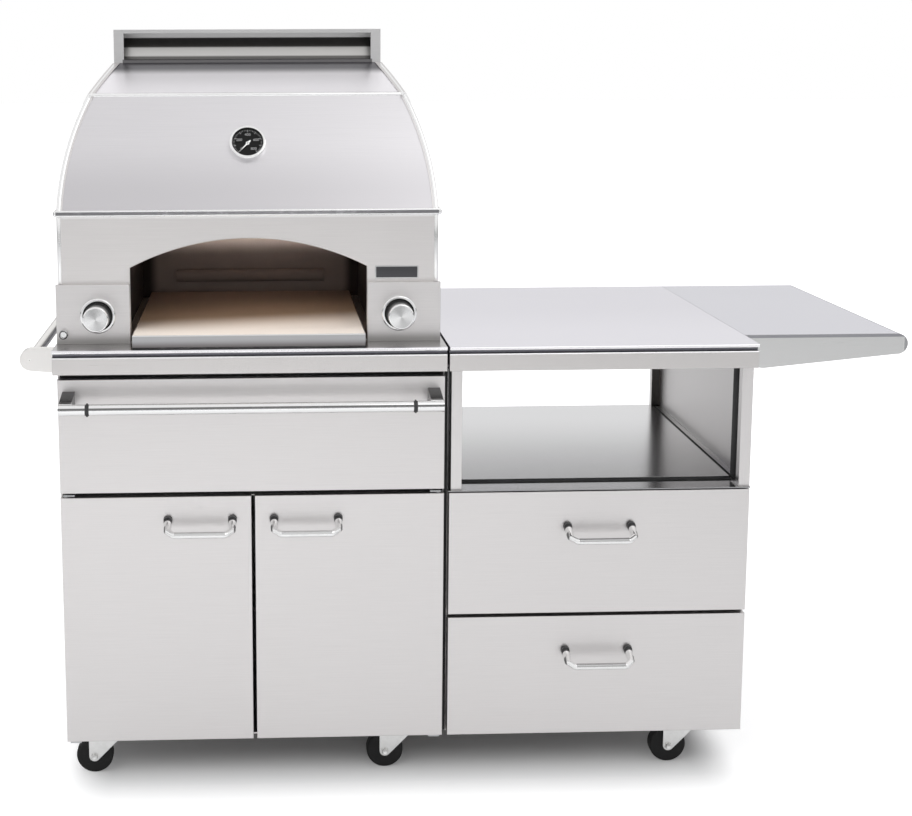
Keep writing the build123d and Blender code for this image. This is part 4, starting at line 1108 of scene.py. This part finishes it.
class CART_OT_stage(bpy.types.Operator):
    """Lays the floor and sets up the light and the camera"""

    bl_idname = "cart.stage"
    bl_label = "Stage"

    # Name, place, aim, size, watts, whether metal mirrors it, spread in degrees
    lamps = (
        ("key_lamp", (-2.6, -3.4, 3.4), (-0.2, 0.0, 0.7), (2.4, 1.8), 66, False, 180),
        ("fill_lamp", (2.6, -3.0, 2.4), (0.0, 0.0, 0.6), (2.2, 1.8), 4, False, 180),
        ("front_lamp", (-0.5, -4.2, 1.3), (-0.4, 0.2, 1.0), (1.6, 1.0), 28, False, 180),
        ("hood_lamp", (1.0, -1.9, 3.4), (-0.2, -0.2, 1.27), (2.0, 1.6), 8, True, 180),
        ("top_lamp", (0.0, 0.4, 3.8), (0.0, 0.2, 0.0), (3.4, 2.0), 34, False, 180),
        ("hearth_lamp", (-0.42, -1.5, 1.62), (-0.42, -0.15, 0.95), (0.6, 0.3), 0.36, False, 40),
        ("vault_lamp", (-0.42, -0.8, 0.86), (-0.42, 0.1, 1.1), (0.4, 0.05), 0.42, False, 40),
    )
    # Height, from straight down to straight up, and level of the sky that metal mirrors
    sky_stops = ((0.0, 0.95), (0.475, 0.95), (0.487, 0.08), (0.52, 0.08), (0.54, 0.95), (1.0, 0.9))
    sky_colour = (0.97, 0.98, 1.0, 1.0)
    sky_strength = 0.55
    # Light of the floor itself: beside the cart, further away, and the share that metal mirrors
    near_glow = 0.56
    far_glow = 0.4
    mirrored_glow = 0.27
    # Share of the floor's colour left under the cart: painted shade
    floor_shade = 0.58

    def execute(self, context):
        studio = context.scene.cart_studio
        self.lay_floor(context, tuple(studio.floor))
        self.light_world(context)
        for lamp in self.lamps:
            self.hang_lamp(context, *lamp)
        lens = bpy.data.cameras.new("photo_camera")
        lens.sensor_width = 36
        lens.lens = studio.lens
        lens.shift_x = studio.shift[0]
        lens.shift_y = studio.shift[1]
        camera = bpy.data.objects.new("photo_camera", lens)
        camera.location = studio.camera_place
        camera.rotation_euler = studio.camera_turn
        context.scene.collection.objects.link(camera)
        context.scene.camera = camera
        context.scene.view_settings.view_transform = "Standard"
        return {"FINISHED"}

    def lay_floor(self, context, colour):
        """A white floor that keeps a soft patch of shadow under the cart, deepened by painted shade in its
        colour.
        """
        bm = bmesh.new()
        bmesh.ops.create_grid(bm, x_segments=1, y_segments=1, size=40)
        mesh = bpy.data.meshes.new("floor")
        bm.to_mesh(mesh)
        bm.free()
        floor = bpy.data.objects.new("floor", mesh)
        context.scene.collection.objects.link(floor)
        finish = Finish("studio_floor", Roughness=0.9, Metallic=0.0, Emission_Strength=1.0)
        seen = finish.light_path("Is Camera Ray")
        shiny = finish.light_path("Is Glossy Ray")
        through = finish.light_path("Is Transmission Ray")
        across = finish.axis("X") - (cart_low.x + cart_high.x) / 2
        depth = finish.axis("Y")
        half = (cart_high.x - cart_low.x) / 2
        beside = finish.ramp(across * across, (half - 0.09) ** 2, (half + 0.03) ** 2)
        before = finish.ramp(depth, cart_low.y + 0.15, cart_low.y - 0.18)
        behind = finish.ramp(depth, cart_high.y - 0.1, cart_high.y + 0.3)
        clear = 1 - (1 - beside) * (1 - before) * (1 - behind)
        far = finish.ramp(across * across + depth * depth, 1.0, 9.0)
        glow = clear * self.near_glow + far * self.far_glow
        finish.give("Base Color", finish.mix(clear, rgba(colour, self.floor_shade), rgba(colour)))
        finish.give("Emission Color", (seen + (shiny + through) * self.mirrored_glow) * glow)
        mesh.materials.append(finish.material)

    def light_world(self, context):
        """Soft light all round: white to the camera and glass, a banded sky to metal."""
        world = bpy.data.worlds.new("studio")
        context.scene.world = world
        sky = NodeTree(world)
        direction = sky.node("ShaderNodeTexCoord", {}, {}, "Generated")
        upwards = sky.node("ShaderNodeSeparateXYZ", {}, {0: direction}, "Z")
        height = sky.node("ShaderNodeMapRange", {}, {"Value": upwards, "From Min": -1.0})
        bands = sky.node("ShaderNodeValToRGB", {"stops": self.sky_stops}, {0: height}, "Color")
        plain = {"Color": self.sky_colour, "Strength": self.sky_strength}
        light = sky.node("ShaderNodeBackground", {}, plain)
        mirrored = sky.node("ShaderNodeBackground", {}, {"Color": bands})
        white = sky.node("ShaderNodeBackground", {}, {"Color": (1.0, 1.0, 1.0, 1.0), "Strength": 1.0})
        shiny = sky.light_path("Is Glossy Ray")
        seen = sky.light_path("Is Camera Ray") + sky.light_path("Is Transmission Ray")
        lit = sky.node("ShaderNodeMixShader", {}, {0: shiny, 1: light, 2: mirrored})
        shown = sky.node("ShaderNodeMixShader", {}, {0: seen, 1: lit, 2: white})
        sky.node("ShaderNodeOutputWorld", {}, {"Surface": shown})

    def hang_lamp(self, context, name, place, aim, size, watts, mirrored, spread):
        lamp = bpy.data.lights.new(name, "AREA")
        lamp.shape = "RECTANGLE"
        lamp.size = size[0]
        lamp.size_y = size[1]
        lamp.energy = watts
        lamp.spread = math.radians(spread)
        holder = bpy.data.objects.new(name, lamp)
        holder.location = place
        holder.rotation_euler = (Vector(aim) - Vector(place)).to_track_quat("-Z", "Y").to_euler()
        holder.visible_glossy = mirrored
        holder.visible_camera = False
        context.scene.collection.objects.link(holder)


class CART_PT_sidebar(bpy.types.Panel):
    """Lists the cart's operators"""

    bl_idname = "CART_PT_sidebar"
    bl_label = "Pizza Oven Cart"
    bl_space_type = "VIEW_3D"
    bl_region_type = "UI"
    bl_category = "Oven Cart"

    def draw(self, context):
        layout = self.layout
        for group in (context.scene.cart_finish, context.scene.cart_trim, context.scene.cart_studio):
            for name in group.__annotations__:
                layout.prop(group, name)
        for operator in operators:
            layout.operator(operator.bl_idname)


groups = (CartFinish, CartTrim, CartStudio)
operators = (
    CART_OT_finishes,
    CART_OT_hood_trim,
    CART_OT_dial_marks,
    CART_OT_knob_faces,
    CART_OT_badge_plate,
    CART_OT_caster_bolts,
    CART_OT_shade_strips,
    CART_OT_bay_filler,
    CART_OT_bezel_wells,
    CART_OT_back_trim,
    CART_OT_stage,
)


def register():
    for cls in groups + operators + (CART_PT_sidebar,):
        bpy.utils.register_class(cls)
    bpy.types.Scene.cart_finish = bpy.props.PointerProperty(type=CartFinish)
    bpy.types.Scene.cart_trim = bpy.props.PointerProperty(type=CartTrim)
    bpy.types.Scene.cart_studio = bpy.props.PointerProperty(type=CartStudio)


def unregister():
    del bpy.types.Scene.cart_studio
    del bpy.types.Scene.cart_trim
    del bpy.types.Scene.cart_finish
    for cls in reversed(groups + operators + (CART_PT_sidebar,)):
        bpy.utils.unregister_class(cls)


def main():
    register()
    bpy.ops.cart.finishes()
    bpy.ops.cart.hood_trim()
    bpy.ops.cart.dial_marks()
    bpy.ops.cart.knob_faces()
    bpy.ops.cart.badge_plate()
    bpy.ops.cart.caster_bolts()
    bpy.ops.cart.dark_seals()
    bpy.ops.cart.bay_filler()
    bpy.ops.cart.bezel_wells()
    bpy.ops.cart.back_trim()
    bpy.ops.cart.stage()


if __name__ == "__main__":
    main()
